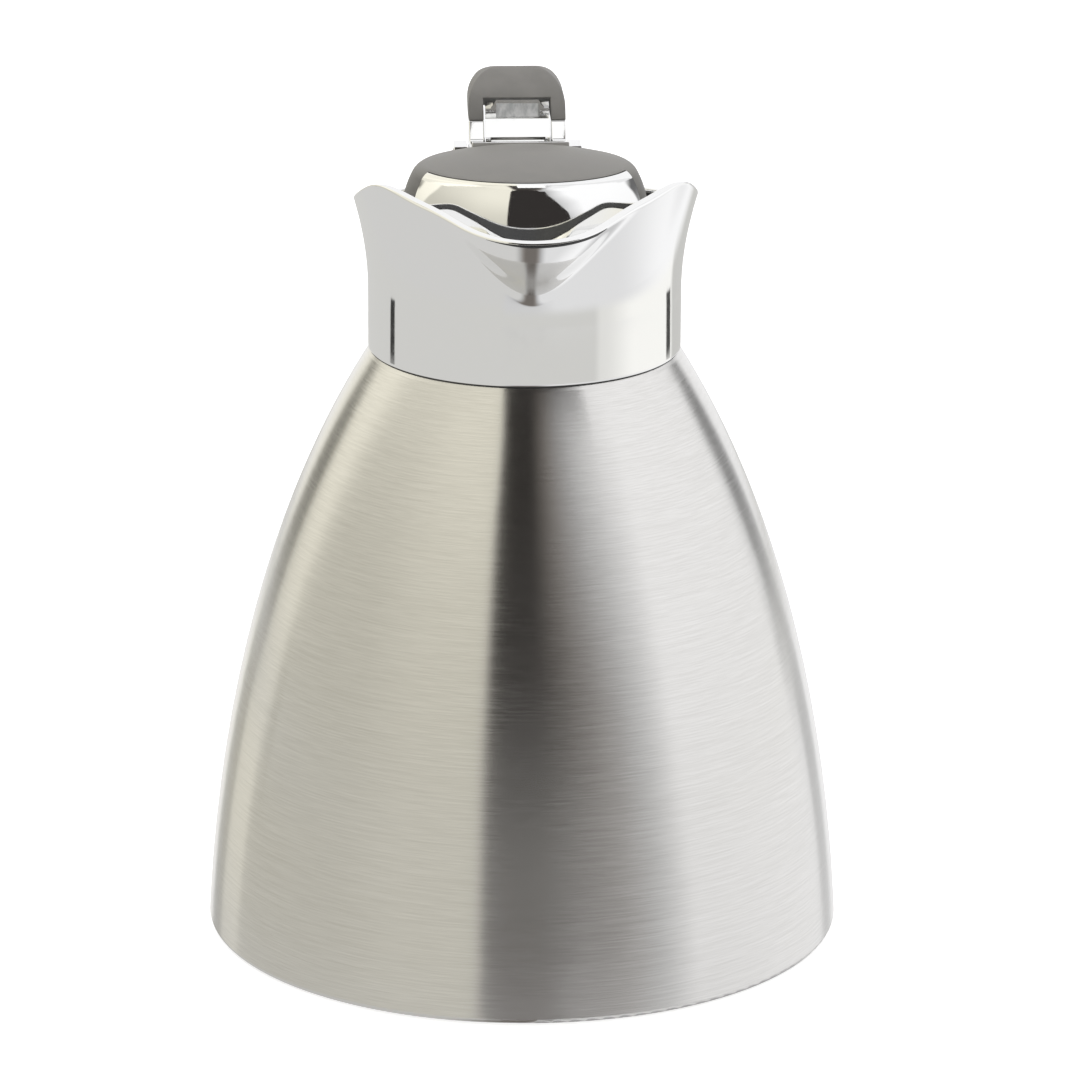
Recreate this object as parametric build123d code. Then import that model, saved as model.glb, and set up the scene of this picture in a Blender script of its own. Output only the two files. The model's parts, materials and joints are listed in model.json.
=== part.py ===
from build123d import *
import os
from math import cos, radians, sin, sqrt, tan

# Thermal carafe with a flip lid. Millimetres and degrees.
# Origin: centre of the base, on the surface that the carafe stands on.
# +Z is up, the pouring beak points to -Y, the hinge and the handle are on +Y.
# A RISE is a height above the seam between body and collar.
# UP, DOWN, FRONT and BACK in the hinge's values are measured from the pin's axis.

# --- insulated body -----------------------------------------------------------
BASE_R = 80.4            # outside radius at the base
BASE_LEAN = 3.0          # lean of the wall at the base, from the vertical
BASE_PULL = 43.0         # how long the wall keeps that lean
BODY_H = 151.4           # height of the seam
SEAM_R = 39.3            # outside radius at the seam
SEAM_LEAN = 31.8         # lean of the wall at the seam
SEAM_PULL = 55.5         # how long the wall keeps that lean
EDGE_R = 1.4             # rounded lower edge
SHELL_WALL = 1.0
FOOT_LIFT = 0.3          # steel edge above the table
HEM_W = 5.0              # flat hem turned in under the body
VACUUM_GAP = 6.5
LINER_WALL = 0.8
LINER_CORNER = 9.0       # rounded corner of the liner's floor
LINER_SHOULDER = 36.0    # slope of the liner where it meets its neck
LINER_FLOOR_GAP = 1.9    # liner above the getter
FOIL_GAP = 0.3           # heat foil to liner
FOIL_WALL = 0.3
FOIL_TOP_DROP = 14.0     # the foil ends this far below the seam
NECK_INSET = 13.8        # bore of the neck inside the seam's radius
NECK_RISE = 11.6         # lip of the neck
NECK_SPACE = 1.4         # vacuum gap in the neck
NECK_FOOT_DROP = 4.4     # the jacket's neck starts this far below the lip
LEDGE_STEP = 0.7         # bevel between the jacket's side and its ledge
LEDGE_IN = 0.6           # the ledge runs this far inside the collar's bore

# --- base ---------------------------------------------------------------------
BOTTOM_WALL = 1.0
DISH_RISE = 5.0          # raised middle of the outer bottom
DISH_MARGIN = 2.0        # flat rim between foot ring and dish
DISH_SLOPE_W = 5.2
PORT_R = 4.5             # evacuation port in the middle
PORT_DEPTH = 2.0
SOLDER_T = 1.6           # solder drop that closes the port, in its middle
SOLDER_EDGE_T = 1.0
FOOT_RING_W = 6.0
FOOT_BEVEL = 0.4
GETTER_GAP = 2.0         # getter ring outside the port's wall
GETTER_W = 6.0
GETTER_H = 2.5
GETTER_ROUND = 0.6

# --- collar -------------------------------------------------------------------
COLLAR_STEP = 0.1        # collar inside the seam's radius
COLLAR_WALL = 2.4
SEAM_RING_H = 0.6
SEAM_RING_SET = 0.3      # ring set back from both faces of the collar
FLARE_RISE = 15.0        # the collar is straight up to here
FLARE_OUT = 7.4          # how far the flare runs out
FLARE_LEAN = 18.0
FLARE_PULL = 13.0
PEAK_RISE = 48.4         # rim's two peaks, beside the beak
PEAK_Y = -27.0
PEAK_HALF = 8.0
PEAK_DROP_FRONT = 3.1    # rim this far down, half a peak in front
PEAK_DROP_BACK = 2.3
SIDE_RISE = 38.9         # rim at the axis
BACK_RISE = 30.9         # rim behind the collar's widest point
TIP_RISE = 39.6          # rim at the tip of the beak
BEAK_OUT = 11.7          # tip of the beak in front of the collar's straight part
BEAK_R = 21.0            # radius of the beak at its tip's height
BEAK_SIDE_LEAN = 44.42   # lean of the beak's sides, from the vertical
KEEL_RISE = 19.1         # where the beak's keel starts, inside the wall
KEEL_SET = 3.2           # depth of that start inside the collar's radius
BEAK_WALL = 2.6
TRIM_OVER = 3.0          # blanks run this far past the rim's peaks

# --- pouring insert, ring and gasket in the neck ------------------------------
GASKET_H = 2.0
GASKET_ROUND = 0.5
NECK_RING_DROP = 1.0     # ring's top below the lip
NECK_RING_H = 5.6
NECK_RING_EDGE = 1.5     # flat lower edge beside the collar
NECK_RING_LIFT = 0.4     # ring above the foot of the jacket's neck
POUR_WALL = 2.0
POUR_STEP = 0.3          # insert's skirt inside the neck's bore
POUR_SIDE_GAP = 0.4      # insert's outer wall past the neck's lip
POUR_RIM_GAP = 0.2       # insert's rim inside the collar
SEAT_W = 4.5             # width of the sloping seat, at 45 degrees
SEAT_LIFT = 3.2          # start of the seat above the neck gasket
TROUGH_RISE = 2.5
SKIRT_H = 10.0
FIT = 0.05               # gap between pieces that fit together

# --- handle -------------------------------------------------------------------
HANDLE_W = 22.0
HANDLE_RIM_COVER = 1.9   # handle's top above the rim's lowest point
HANDLE_ROOT_H = 26.0
HANDLE_ROOT_IN = 3.0     # the blank starts this far inside the collar's radius
HANDLE_OUT = 66.8        # reach from the collar
HANDLE_LEN = 122.2       # top to free end
HANDLE_T = 15.0
HANDLE_FLAT = 15.0       # level top beside the collar
HANDLE_SHOULDER_IN = 14.0
HANDLE_SHOULDER_DROP = 17.0
HANDLE_WIDEST_DROP = 58.0
HANDLE_END_IN = 14.0
HANDLE_END_ROUND = 4.5
HANDLE_END_SKEW = 3.0    # inner corner of the free end above the outer one
HANDLE_END_LEAN = 14.0   # lean of the free end, from the vertical
HANDLE_INNER_IN = 12.0
HANDLE_INNER_DROP = 30.0
HANDLE_INNER_WIDEST_DROP = 62.0
HANDLE_ROOT_FLAT = 17.0  # level underside beside the collar
HANDLE_ROOT_RISE = 3.0   # that underside at its end, above the root's lowest point
HANDLE_ROUND = 5.0
GRIP_T = 7.0
GRIP_TOP_DROP = 30.0
GRIP_END_LIFT = 10.0
GRIP_END_IN = 8.0
GRIP_THIN = 4.0          # the grip is thinner by this much at its end

# --- handle's screws and their plate ------------------------------------------
SCREW_R = 2.0
SCREW_HEAD_R = 3.6
SCREW_HEAD_H = 2.2
SCREW_L = 18.0
SCREW_X = 6.0
SCREW_RISE = 15.6
SCREW_SLOT_W = 1.2
SCREW_SLOT_H = 0.9
PLATE_HALF_W = 10.6
PLATE_HALF_H = 4.2
PLATE_T = 2.2

# --- small screws, in the hinge and the lid -----------------------------------
SMALL_SCREW_R = 1.5
SMALL_HEAD_R = 2.7
SMALL_HEAD_H = 1.6
SMALL_SCREW_L = 9.0
LID_SCREW_L = 6.3
SMALL_SLOT_W = 1.0
SMALL_SLOT_H = 0.6

# --- hinge: fixed half --------------------------------------------------------
HINGE_SET = 0.7          # pin's axis inside the collar's radius
HINGE_RISE = 39.1
PIN_R = 2.0
PIN_OVER = 0.4           # pin's end past the ears
PIN_BEVEL = 0.4
BLOCK_W = 13.8           # fixed middle block
BLOCK_FRONT = 3.9
BLOCK_BACK = 11.2
BLOCK_BACK_DOWN = 0.5    # top of the block's upright back
BLOCK_TOP_BACK = 6.0     # back end of the block's top
BLOCK_TOP_FRONT = 1.6    # front end of the block's top
BLOCK_FRONT_UP = 2.0     # top of the block's upright front
BLOCK_NOSE = 2.0         # bevel under the block's front
EAR_W = 3.5
EAR_UP = 3.3
EAR_HALF = 4.2
EAR_BEVEL = 0.8
EAR_HEEL = 8.6           # foot of the ear's sloping back
EAR_HEEL_UP = 2.0
BRACKET_H = 2.0
BRACKET_L = 11.0
BRACKET_FRONT = 4.6      # bracket's base starts this far behind the pin
BRACKET_LIFT = 0.4       # front of the bracket above the handle's top
BRACKET_SCREW_X = 3.6
BRACKET_SCREW_BACK = 8.2
BRACKET_SCREW_DOWN = 1.0
PILOT_DEPTH = 8.0

# --- hinge: chrome cap --------------------------------------------------------
CAP_WALL = 1.2
CAP_UP = 14.3
CAP_FRONT = 3.0
CAP_FRONT_UP = 5.6       # lower edge of the cap's front
CAP_SLOPE_L = 3.2        # the front slopes back over this length
CAP_SLOPE_UP = 9.7       # top of that slope
CAP_STEP = 1.9           # the cap's shoulders lie this much lower
CAP_STEP_W = 1.4
CAP_TOP_L = 4.5
CAP_BACK_R = 13.9        # the cap's back, round the pin
CAP_SIDE_UP = 3.4        # lower edge of the cap's sides
CAP_HEEL_DOWN = 1.5      # lower edge of the cap's back
CAP_HEEL_BACK = 8.0
CAP_BEVEL = 1.3
CAP_ROOM = 0.1           # room between cap and block behind
WINDOW_W = 10.9
WINDOW_H = 3.8
WINDOW_DROP = 0.5
WINDOW_DEPTH = 1.2
INLAY_T = 0.8

# --- lever and thumb pad ------------------------------------------------------
ARM_GAP = 0.4            # between the cap and each arm, and each arm and ear
ARM_W = 3.8
BUSH_WALL = 0.9
ARM_RING_R = 5.0
ARM_UP = 9.2
HORN_FRONT = 4.2
HORN_FRONT_UP = 2.7
HORN_CREST_BACK = 0.2    # front end of the horn's top
HORN_TOP_BACK = 7.4
TANG_W = 1.8
TANG_L = 3.2
TANG_H = 3.6
TANG_BACK = 4.6
PAD_UP = 20.3
PAD_TOE_BACK = 0.2       # front end of the pad's foot
PAD_FOOT_BACK = 7.6
PAD_BELLY_BACK = 4.2
PAD_BELLY_UP = 5.3       # above the arms' top
PAD_LIP_BACK = 9.4
PAD_LIP_DROP = 1.8
PAD_CROWN_BACK = 12.8
PAD_EDGE_BACK = 15.8
PAD_EDGE_DROP = 1.6
PAD_HEEL_BACK = 13.6
PAD_HEEL_DROP = 5.6
PAD_CORNER = 7.8
PAD_RUN = 0.8            # pad's bridge clear of the cap
PAD_OPEN_BACK = 2.0      # front end of the pad's bridge

# --- lid ----------------------------------------------------------------------
LID_TILT = 4.0           # the lid's top slopes down to the back
LID_PIVOT_DOWN = 4.5     # centre of that tilt below the pin's axis
LID_OVER = 4.5           # lid's foot past the neck's bore
LID_BELLY = 0.15         # bulge of the lid's side past its foot's radius
LID_BELLY_UP = 4.5
LID_SHOULDER_IN = 3.0    # shoulder of the lid inside its foot's radius
LID_SHOULDER_H = 11.8
LID_DEPTH = 7.0
LID_DOME_H = 3.7
LID_EDGE_R = 4.5
COVER_T = 1.6
COVER_SKIRT = 2.0        # the cover's skirt ends this far below the tilt's centre
LID_WALL = 1.4
PANEL_ANGLE = 69.0       # half the width of the polished front
PANEL_TOP_H = 11.9       # top of the polished front above the tilt's centre
RING_TOP_DROP = 0.6      # top of the lid's hidden ring below its own shoulder
PANEL_GAP = 0.15
CORE_TOP_DOWN = 0.5
CORE_WALL = 2.0
CORE_SIDE_GAP = 1.4      # core inside the lid's ring
PLUG_GAP = 3.0           # plug inside the pouring bore
PLUG_REACH = 1.8         # plug's end below the seat
FLANGE_LIFT = 1.6        # core's flange above the seat's top
SEAL_GAP = 0.35          # gasket clear of the seat
SEAL_T = 3.6
SEAL_OVER = 2.6
SEAL_SKIRT = 0.9
SEAL_LIP = 0.4
PLATE_OVER = 0.8         # base plate past the plug
LID_PLATE_T = 1.2
NOTCH_R = 16.7           # the lid's notch, round the pin
NOTCH_MARGIN = 0.4
NOTCH_WALL = 1.2
NOTCH_SIDE_GAP = 0.15
NOTCH_TOP_UP = 7.8
NOTCH_FRONT_UP = 2.1
NOTCH_BACK = 6.5
NOTCH_BACK_DOWN = 2.8
NOTCH_FLOOR_CUT = 2.4    # the notch's floor ends this far before its back
YOKE_T = 2.8             # plate that screws the lever to the core
YOKE_L = 16.0
YOKE_SCREW_X = 7.0
YOKE_SCREW_FRONT = 9.0
TONGUE_DROP = 2.2
TONGUE_NECK = 9.0

# --- heights and radii that follow --------------------------------------------
HEM_R = BASE_R - EDGE_R - HEM_W
BOTTOM_Z = FOOT_LIFT + SHELL_WALL
DISH_Z = BOTTOM_Z + DISH_RISE
GETTER_Z = DISH_Z + BOTTOM_WALL
LINER_FLOOR_Z = GETTER_Z + GETTER_H + LINER_FLOOR_GAP + LINER_WALL
LINER_INSET = SHELL_WALL + VACUUM_GAP
NECK_BORE_R = SEAM_R - NECK_INSET
NECK_OUT_R = NECK_BORE_R + LINER_WALL + NECK_SPACE + SHELL_WALL
LIP_Z = BODY_H + NECK_RISE
FLANGE_Z = LIP_Z + LINER_WALL
INSERT_Z = FLANGE_Z + GASKET_H
SEAT_Z = INSERT_Z + SEAT_LIFT
SEAT_TOP_Z = SEAT_Z + SEAT_W
COLLAR_R = SEAM_R - COLLAR_STEP
COLLAR_BORE_R = COLLAR_R - COLLAR_WALL
COLLAR_Z = BODY_H + SEAM_RING_H
PEAK_Z = BODY_H + PEAK_RISE
TRIM_Z = PEAK_Z + TRIM_OVER
TIP_Z = BODY_H + TIP_RISE
TIP_Y = -COLLAR_R - BEAK_OUT
KEEL_Z = BODY_H + KEEL_RISE
POUR_BORE_R = NECK_BORE_R - POUR_STEP - POUR_WALL
INSERT_OUT_R = COLLAR_BORE_R - POUR_RIM_GAP
HANDLE_TOP_Z = BODY_H + BACK_RISE + HANDLE_RIM_COVER
HANDLE_Y = COLLAR_R + HANDLE_OUT
HANDLE_END_Z = HANDLE_TOP_Z - HANDLE_LEN
SCREW_Z = BODY_H + SCREW_RISE
HINGE_Y = COLLAR_R - HINGE_SET
HINGE_Z = BODY_H + HINGE_RISE
BORE_R = PIN_R + FIT
CAP_W = BLOCK_W + 2 * CAP_WALL + 2 * FIT
ARM_IN = CAP_W / 2 + ARM_GAP
ARM_OUT = ARM_IN + ARM_W
ARM_MID = (ARM_IN + ARM_OUT) / 2
ARM_TOP_Z = HINGE_Z + ARM_UP
EAR_IN = ARM_OUT + ARM_GAP
EAR_OUT = EAR_IN + EAR_W
BRACKET_Y = HINGE_Y + BRACKET_FRONT
BRACKET_SCREW_Y = HINGE_Y + BRACKET_SCREW_BACK
BRACKET_SCREW_Z = HINGE_Z - BRACKET_SCREW_DOWN
BLOCK_TOP_Z = HINGE_Z + CAP_FRONT_UP
CAP_TOP_Z = HINGE_Z + CAP_UP
CAP_Y = HINGE_Y - CAP_FRONT
CAP_WALL_Y = CAP_Y + CAP_SLOPE_L
WINDOW_Y = CAP_WALL_Y + WINDOW_DEPTH
WINDOW_Z = CAP_TOP_Z - WINDOW_DROP - WINDOW_H
PAD_TOP_Z = HINGE_Z + PAD_UP
LID_PIVOT_Z = HINGE_Z - LID_PIVOT_DOWN
LID_FOOT_R = NECK_BORE_R + LID_OVER
LID_SHOULDER_R = LID_FOOT_R - LID_SHOULDER_IN
CORE_R = LID_FOOT_R - COVER_T - LID_WALL - CORE_SIDE_GAP
CORE_TOP_Z = HINGE_Z - CORE_TOP_DOWN
FLANGE_LOW_Z = SEAT_TOP_Z + FLANGE_LIFT
PLUG_R = POUR_BORE_R - PLUG_GAP
PLUG_Z = SEAT_Z - PLUG_REACH
PLUG_BOTTOM_Z = PLUG_Z - LID_PLATE_T
NOTCH_Y = HINGE_Y - NOTCH_R - NOTCH_MARGIN
NOTCH_Z = HINGE_Z + NOTCH_FRONT_UP
NOTCH_BACK_Y = HINGE_Y - NOTCH_BACK
NOTCH_BACK_Z = HINGE_Z - NOTCH_BACK_DOWN
YOKE_SCREW_Y = NOTCH_Y - YOKE_SCREW_FRONT
FAR = 300.0              # past everything
OVERRUN = 1.0            # cuts and blanks run this far past a face


# --- helpers ------------------------------------------------------------------
def at(r, z):
    """A point of a turned outline, in the XZ plane."""
    return (r, 0, z)


def turned(*edges):
    """A solid of revolution from a closed outline."""
    return revolve(make_face(Wire.combine(list(edges))), Axis.Z)


def turned_points(*points):
    """A solid of revolution from a closed outline with straight sides."""
    return turned(*Polyline(*[at(r, z) for r, z in points], close=True).edges())


def tube(r_in, r_out, z_low, z_high):
    """A straight ring."""
    return turned_points((r_in, z_low), (r_out, z_low), (r_out, z_high), (r_in, z_high))


def box(x0, x1, y0, y1, z0, z1):
    """A block from its two corners."""
    return Pos((x0 + x1) / 2, (y0 + y1) / 2, (z0 + z1) / 2) * Box(x1 - x0, y1 - y0, z1 - z0)


def side_face(*edges):
    """A face in the YZ plane from its edges."""
    return make_face(Wire.combine(list(edges)))


def side_plate(points, x0, x1):
    """A plate with straight sides, drawn in the YZ plane, between two X values."""
    face = make_face(Polyline(*[(x0, y, z) for y, z in points], close=True).edges())
    return extrude(face, amount=x1 - x0, dir=(1, 0, 0))


def from_middle(face, half):
    """A face in the YZ plane, thickened to both sides."""
    return extrude(face, amount=half, dir=(1, 0, 0)) + extrude(face, amount=half, dir=(-1, 0, 0))


def across(radius, x0, x1):
    """A cylinder round the hinge's axis, between two X values."""
    return Pos((x0 + x1) / 2, HINGE_Y, HINGE_Z) * Rot(0, 90, 0) * Cylinder(radius, x1 - x0)


def along_y(radius, x, z, y0, y1):
    """A cylinder along Y."""
    return Pos(x, (y0 + y1) / 2, z) * Rot(90, 0, 0) * Cylinder(radius, y1 - y0)


def upright(radius, x, y, z0, z1):
    """A cylinder along Z."""
    return Pos(x, y, (z0 + z1) / 2) * Cylinder(radius, z1 - z0)


def both_sides(solid):
    """The solid and its mirror image in the YZ plane."""
    return solid + mirror(solid, Plane.YZ)


def slab(low, high):
    """A wide level layer between two heights."""
    return Pos(0, 0, (low + high) / 2) * Cylinder(FAR, high - low)


def small_screw(x, y, seat, length):
    """A screw that points down, with its head on the seat and a slot in the head."""
    shank = upright(SMALL_SCREW_R, x, y, seat - length, seat)
    head = upright(SMALL_HEAD_R, x, y, seat, seat + SMALL_HEAD_H)
    half = SMALL_SLOT_W / 2
    slot = box(x - half, x + half, -FAR, FAR, seat + SMALL_HEAD_H - SMALL_SLOT_H, FAR)
    return shank + head - slot


# --- insulated body -----------------------------------------------------------
def flank(inset):
    """The body's curved side, moved inwards by the inset."""
    low, high = radians(BASE_LEAN), radians(SEAM_LEAN)
    r0, z0 = BASE_R - inset * cos(low), FOOT_LIFT + EDGE_R - inset * sin(low)
    r3, z3 = SEAM_R - inset * cos(high), BODY_H - SHELL_WALL - inset * sin(high)
    r1, z1 = r0 - BASE_PULL * sin(low), z0 + BASE_PULL * cos(low)
    r2, z2 = r3 + SEAM_PULL * sin(high), z3 - SEAM_PULL * cos(high)
    return Bezier(at(r0, z0), at(r1, z1), at(r2, z2), at(r3, z3))


def jacket(inset):
    """The outer jacket as a full solid, moved inwards by the inset."""
    side = flank(inset)
    start, end = side @ 0, side @ 1
    floor_z = FOOT_LIFT + inset
    corner_r = start.X - EDGE_R + inset
    neck_r = NECK_OUT_R - inset
    rest = Polyline(
        end,
        at(end.X - LEDGE_STEP, BODY_H - inset),
        at(COLLAR_BORE_R - LEDGE_IN - inset, BODY_H - inset),
        at(neck_r, LIP_Z - NECK_FOOT_DROP),
        at(neck_r, LIP_Z),
        at(0, LIP_Z),
        at(0, floor_z),
        at(corner_r, floor_z),
    )
    bulge = 1 - sin(radians(45))
    middle = at(start.X - (EDGE_R - inset) * bulge, floor_z + (start.Z - floor_z) * bulge)
    corner = ThreePointArc(at(corner_r, floor_z), middle, start)
    return turned(side, *rest.edges(), corner)


def make_outer_shell():
    """Brushed outer jacket, open at the neck and underneath."""
    shell = jacket(0) - jacket(SHELL_WALL)
    shell -= upright(HEM_R, 0, 0, 0, BOTTOM_Z + EDGE_R)
    return shell - upright(NECK_OUT_R - SHELL_WALL, 0, 0, LIP_Z - 2 * SHELL_WALL, FAR)


def liner(inset):
    """The liner's space with its neck, as a full solid, moved inwards by the inset."""
    side = flank(LINER_INSET + inset)
    top = side @ 1
    neck_r = NECK_BORE_R + LINER_WALL - inset
    shoulder_z = top.Z + (top.X - neck_r) * tan(radians(LINER_SHOULDER))
    rest = Polyline(
        top,
        at(neck_r, shoulder_z),
        at(neck_r, LIP_Z),
        at(0, LIP_Z),
        at(0, 0),
        at((side @ 0).X, 0),
        side @ 0,
    )
    solid = turned(side, *rest.edges()) & slab(LINER_FLOOR_Z - LINER_WALL + inset, FAR)
    return fillet(solid.edges().group_by(Axis.Z)[0], LINER_CORNER - inset)


def make_inner_flask():
    """Liner's wall with its lip, and its floor, welded on above the rounded corner."""
    split_z = LINER_FLOOR_Z + LINER_CORNER
    wall = liner(0) - liner(LINER_WALL)
    upper = (wall & slab(split_z, FAR)) - upright(NECK_BORE_R, 0, 0, LIP_Z - 2 * LINER_WALL, FAR)
    upper += tube(NECK_BORE_R, NECK_OUT_R, LIP_Z, FLANGE_Z)
    return upper, wall & slab(0, split_z)


def flank_solid(inset):
    """The space inside the body's curved side, moved inwards by the inset."""
    side = flank(inset)
    low, high = side @ 0, side @ 1
    return turned(side, *Polyline(high, at(0, high.Z), at(0, low.Z), low).edges())


def make_heat_foil():
    """Thin foil in the vacuum, round the liner's side."""
    inset = LINER_INSET - FOIL_GAP
    band = slab(LINER_FLOOR_Z + LINER_CORNER, BODY_H - FOIL_TOP_DROP)
    return (flank_solid(inset - FOIL_WALL) & band) - flank_solid(inset)


def make_outer_bottom():
    """Disc that closes the jacket, with a raised middle and the evacuation port."""
    rim_r = BASE_R - EDGE_R - FIT
    slope_r = HEM_R - FOOT_RING_W - DISH_MARGIN
    dish_r = slope_r - DISH_SLOPE_W
    port_top = DISH_Z + PORT_DEPTH
    return turned_points(
        (rim_r, BOTTOM_Z),
        (rim_r, BOTTOM_Z + BOTTOM_WALL),
        (slope_r, BOTTOM_Z + BOTTOM_WALL),
        (dish_r, DISH_Z + BOTTOM_WALL),
        (PORT_R + BOTTOM_WALL, DISH_Z + BOTTOM_WALL),
        (PORT_R + BOTTOM_WALL, port_top + BOTTOM_WALL),
        (0, port_top + BOTTOM_WALL),
        (0, port_top),
        (PORT_R, port_top),
        (PORT_R, DISH_Z),
        (dish_r, DISH_Z),
        (slope_r, BOTTOM_Z),
    )


def make_vacuum_seal():
    """Drop of solder in the evacuation port."""
    top, r = DISH_Z + PORT_DEPTH, PORT_R - FIT
    return turned_points((0, top), (r, top), (r, top - SOLDER_EDGE_T), (0, top - SOLDER_T))


def make_getter():
    """Ring of getter on the raised middle, round the port."""
    r_in = PORT_R + BOTTOM_WALL + GETTER_GAP
    ring = tube(r_in, r_in + GETTER_W, GETTER_Z, GETTER_Z + GETTER_H)
    return fillet(ring.edges().group_by(Axis.Z)[-1], GETTER_ROUND)


def make_foot_ring():
    """Rubber ring that the carafe stands on."""
    r_out = HEM_R - FIT
    ring = tube(r_out - FOOT_RING_W, r_out, 0, BOTTOM_Z)
    return chamfer(ring.edges().group_by(Axis.Z)[0], FOOT_BEVEL)


def make_seam_ring():
    """Thin dark ring between body and collar."""
    return tube(COLLAR_BORE_R + SEAM_RING_SET, COLLAR_R - SEAM_RING_SET, BODY_H, COLLAR_Z)


def make_neck_ring():
    """Ring that centres the collar on the neck."""
    top = LIP_Z - NECK_RING_DROP
    low = top - NECK_RING_H
    r_out = COLLAR_BORE_R - FIT
    r_in = NECK_OUT_R + FIT
    foot_z = LIP_Z - NECK_FOOT_DROP + NECK_RING_LIFT
    low_edge = r_out - NECK_RING_EDGE
    return turned_points((r_in, top), (r_out, top), (r_out, low), (low_edge, low), (r_in, foot_z))


def make_neck_gasket():
    """Soft ring between the neck's lip and the pouring insert."""
    ring = tube(NECK_BORE_R + 2 * FIT, NECK_OUT_R, FLANGE_Z, INSERT_Z)
    return fillet(ring.edges().group_by(Axis.Z)[-1], GASKET_ROUND)


def make_pour_insert():
    """Plastic insert with the lid's sloping seat and the trough round it."""
    wall_r = NECK_OUT_R + POUR_SIDE_GAP + POUR_WALL
    skirt_r = POUR_BORE_R + POUR_WALL
    edge_z = SEAT_TOP_Z + TROUGH_RISE
    return turned_points(
        (POUR_BORE_R, INSERT_Z - SKIRT_H),
        (POUR_BORE_R, SEAT_Z),
        (POUR_BORE_R + SEAT_W, SEAT_TOP_Z),
        (INSERT_OUT_R, edge_z),
        (INSERT_OUT_R, edge_z - POUR_WALL),
        (wall_r, SEAT_TOP_Z - POUR_WALL),
        (wall_r, INSERT_Z),
        (skirt_r, INSERT_Z),
        (skirt_r, INSERT_Z - SKIRT_H),
    )


# --- collar -------------------------------------------------------------------
def collar_body(inset, low=COLLAR_Z):
    """The collar without its beak, as a full solid, moved inwards by the inset."""
    r, lean = COLLAR_R - inset, radians(FLARE_LEAN)
    flare_z, top_r = BODY_H + FLARE_RISE, r + FLARE_OUT
    flare = Bezier(
        at(r, flare_z),
        at(r, flare_z + FLARE_PULL),
        at(top_r - FLARE_PULL * sin(lean), TRIM_Z - FLARE_PULL * cos(lean)),
        at(top_r, TRIM_Z),
    )
    rest = Polyline(at(top_r, TRIM_Z), at(0, TRIM_Z), at(0, low), at(r, low), at(r, flare_z))
    return turned(flare, *rest.edges())


def keel_y(z):
    """The beak's keel at a height: it leans out less and less towards the rim's peaks."""
    start = -COLLAR_R + KEEL_SET
    rise = 1 - (1 - (z - KEEL_Z) / (TRIM_Z - KEEL_Z)) ** 2
    tip_rise = 1 - (1 - (TIP_Z - KEEL_Z) / (TRIM_Z - KEEL_Z)) ** 2
    return start + (TIP_Y - start) * rise / tip_rise


def beak_section(z, inset):
    """A level round section of the beak at a height."""
    radius = BEAK_R + tan(radians(BEAK_SIDE_LEAN)) * (z - TIP_Z)
    return Pos(0, keel_y(z) + radius, z) * Circle(radius - inset)


def beak(inset):
    """The pouring beak as a full solid, moved inwards by the inset."""
    low = KEEL_Z + inset / tan(radians(BEAK_SIDE_LEAN))
    steps = 6
    heights = [low + (TRIM_Z - low) * n / (steps - 1) for n in range(steps)]
    return loft([beak_section(z, inset) for z in heights])


def above_rim():
    """Everything above the rim's line, which is the same on both sides."""
    back, front = 2 * COLLAR_R, 2 * TIP_Y
    back_y = COLLAR_R + FLARE_OUT
    back_slope = (SIDE_RISE - BACK_RISE) / back_y
    tip_slope = (PEAK_Z - PEAK_DROP_FRONT - TIP_Z) / (PEAK_Y - PEAK_HALF - TIP_Y) / 2
    line = Spline(
        (-FAR, back_y, BODY_H + BACK_RISE),
        (-FAR, 0, BODY_H + SIDE_RISE),
        (-FAR, PEAK_Y + PEAK_HALF, PEAK_Z - PEAK_DROP_BACK),
        (-FAR, PEAK_Y, PEAK_Z),
        (-FAR, PEAK_Y - PEAK_HALF, PEAK_Z - PEAK_DROP_FRONT),
        (-FAR, TIP_Y, TIP_Z),
        (-FAR, TIP_Y - TRIM_OVER, TIP_Z - TRIM_OVER * tip_slope),
        tangents=((0, -1, back_slope), (0, -1, -tip_slope)),
    )
    start, end = line @ 0, line @ 1
    rest = Polyline(
        end,
        (-FAR, front, end.Z + (front - end.Y) * tip_slope),
        (-FAR, front, FAR),
        (-FAR, back, FAR),
        (-FAR, back, start.Z - (back - start.Y) * back_slope),
        start,
    )
    return extrude(side_face(line, *rest.edges()), amount=2 * FAR, dir=(1, 0, 0))


def handle_screw_holes():
    return both_sides(along_y(SCREW_R + FIT, SCREW_X, SCREW_Z, 0, COLLAR_R + SCREW_L))


def make_collar():
    """Polished collar with its beak."""
    outside = collar_body(0) + beak(0)
    inside = collar_body(COLLAR_WALL, low=0) + beak(BEAK_WALL)
    collar = outside - inside - above_rim()
    return collar - handle_screw_holes()


# --- handle -------------------------------------------------------------------
def handle_inner():
    """The curve that the fingers close round, from the free end up to the root."""
    tip_y = HANDLE_Y - HANDLE_END_IN
    inner_y = HANDLE_Y - HANDLE_T
    root_low = HANDLE_TOP_Z - HANDLE_ROOT_H
    return Spline(
        (0, tip_y - HANDLE_T + GRIP_THIN, HANDLE_END_Z + HANDLE_END_SKEW),
        (0, inner_y, HANDLE_TOP_Z - HANDLE_INNER_WIDEST_DROP),
        (0, inner_y - HANDLE_INNER_IN, HANDLE_TOP_Z - HANDLE_INNER_DROP),
        (0, COLLAR_R + HANDLE_ROOT_FLAT, root_low + HANDLE_ROOT_RISE),
        tangents=((0, tan(radians(HANDLE_END_LEAN)), 1), (0, -1, 0)),
    )


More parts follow.
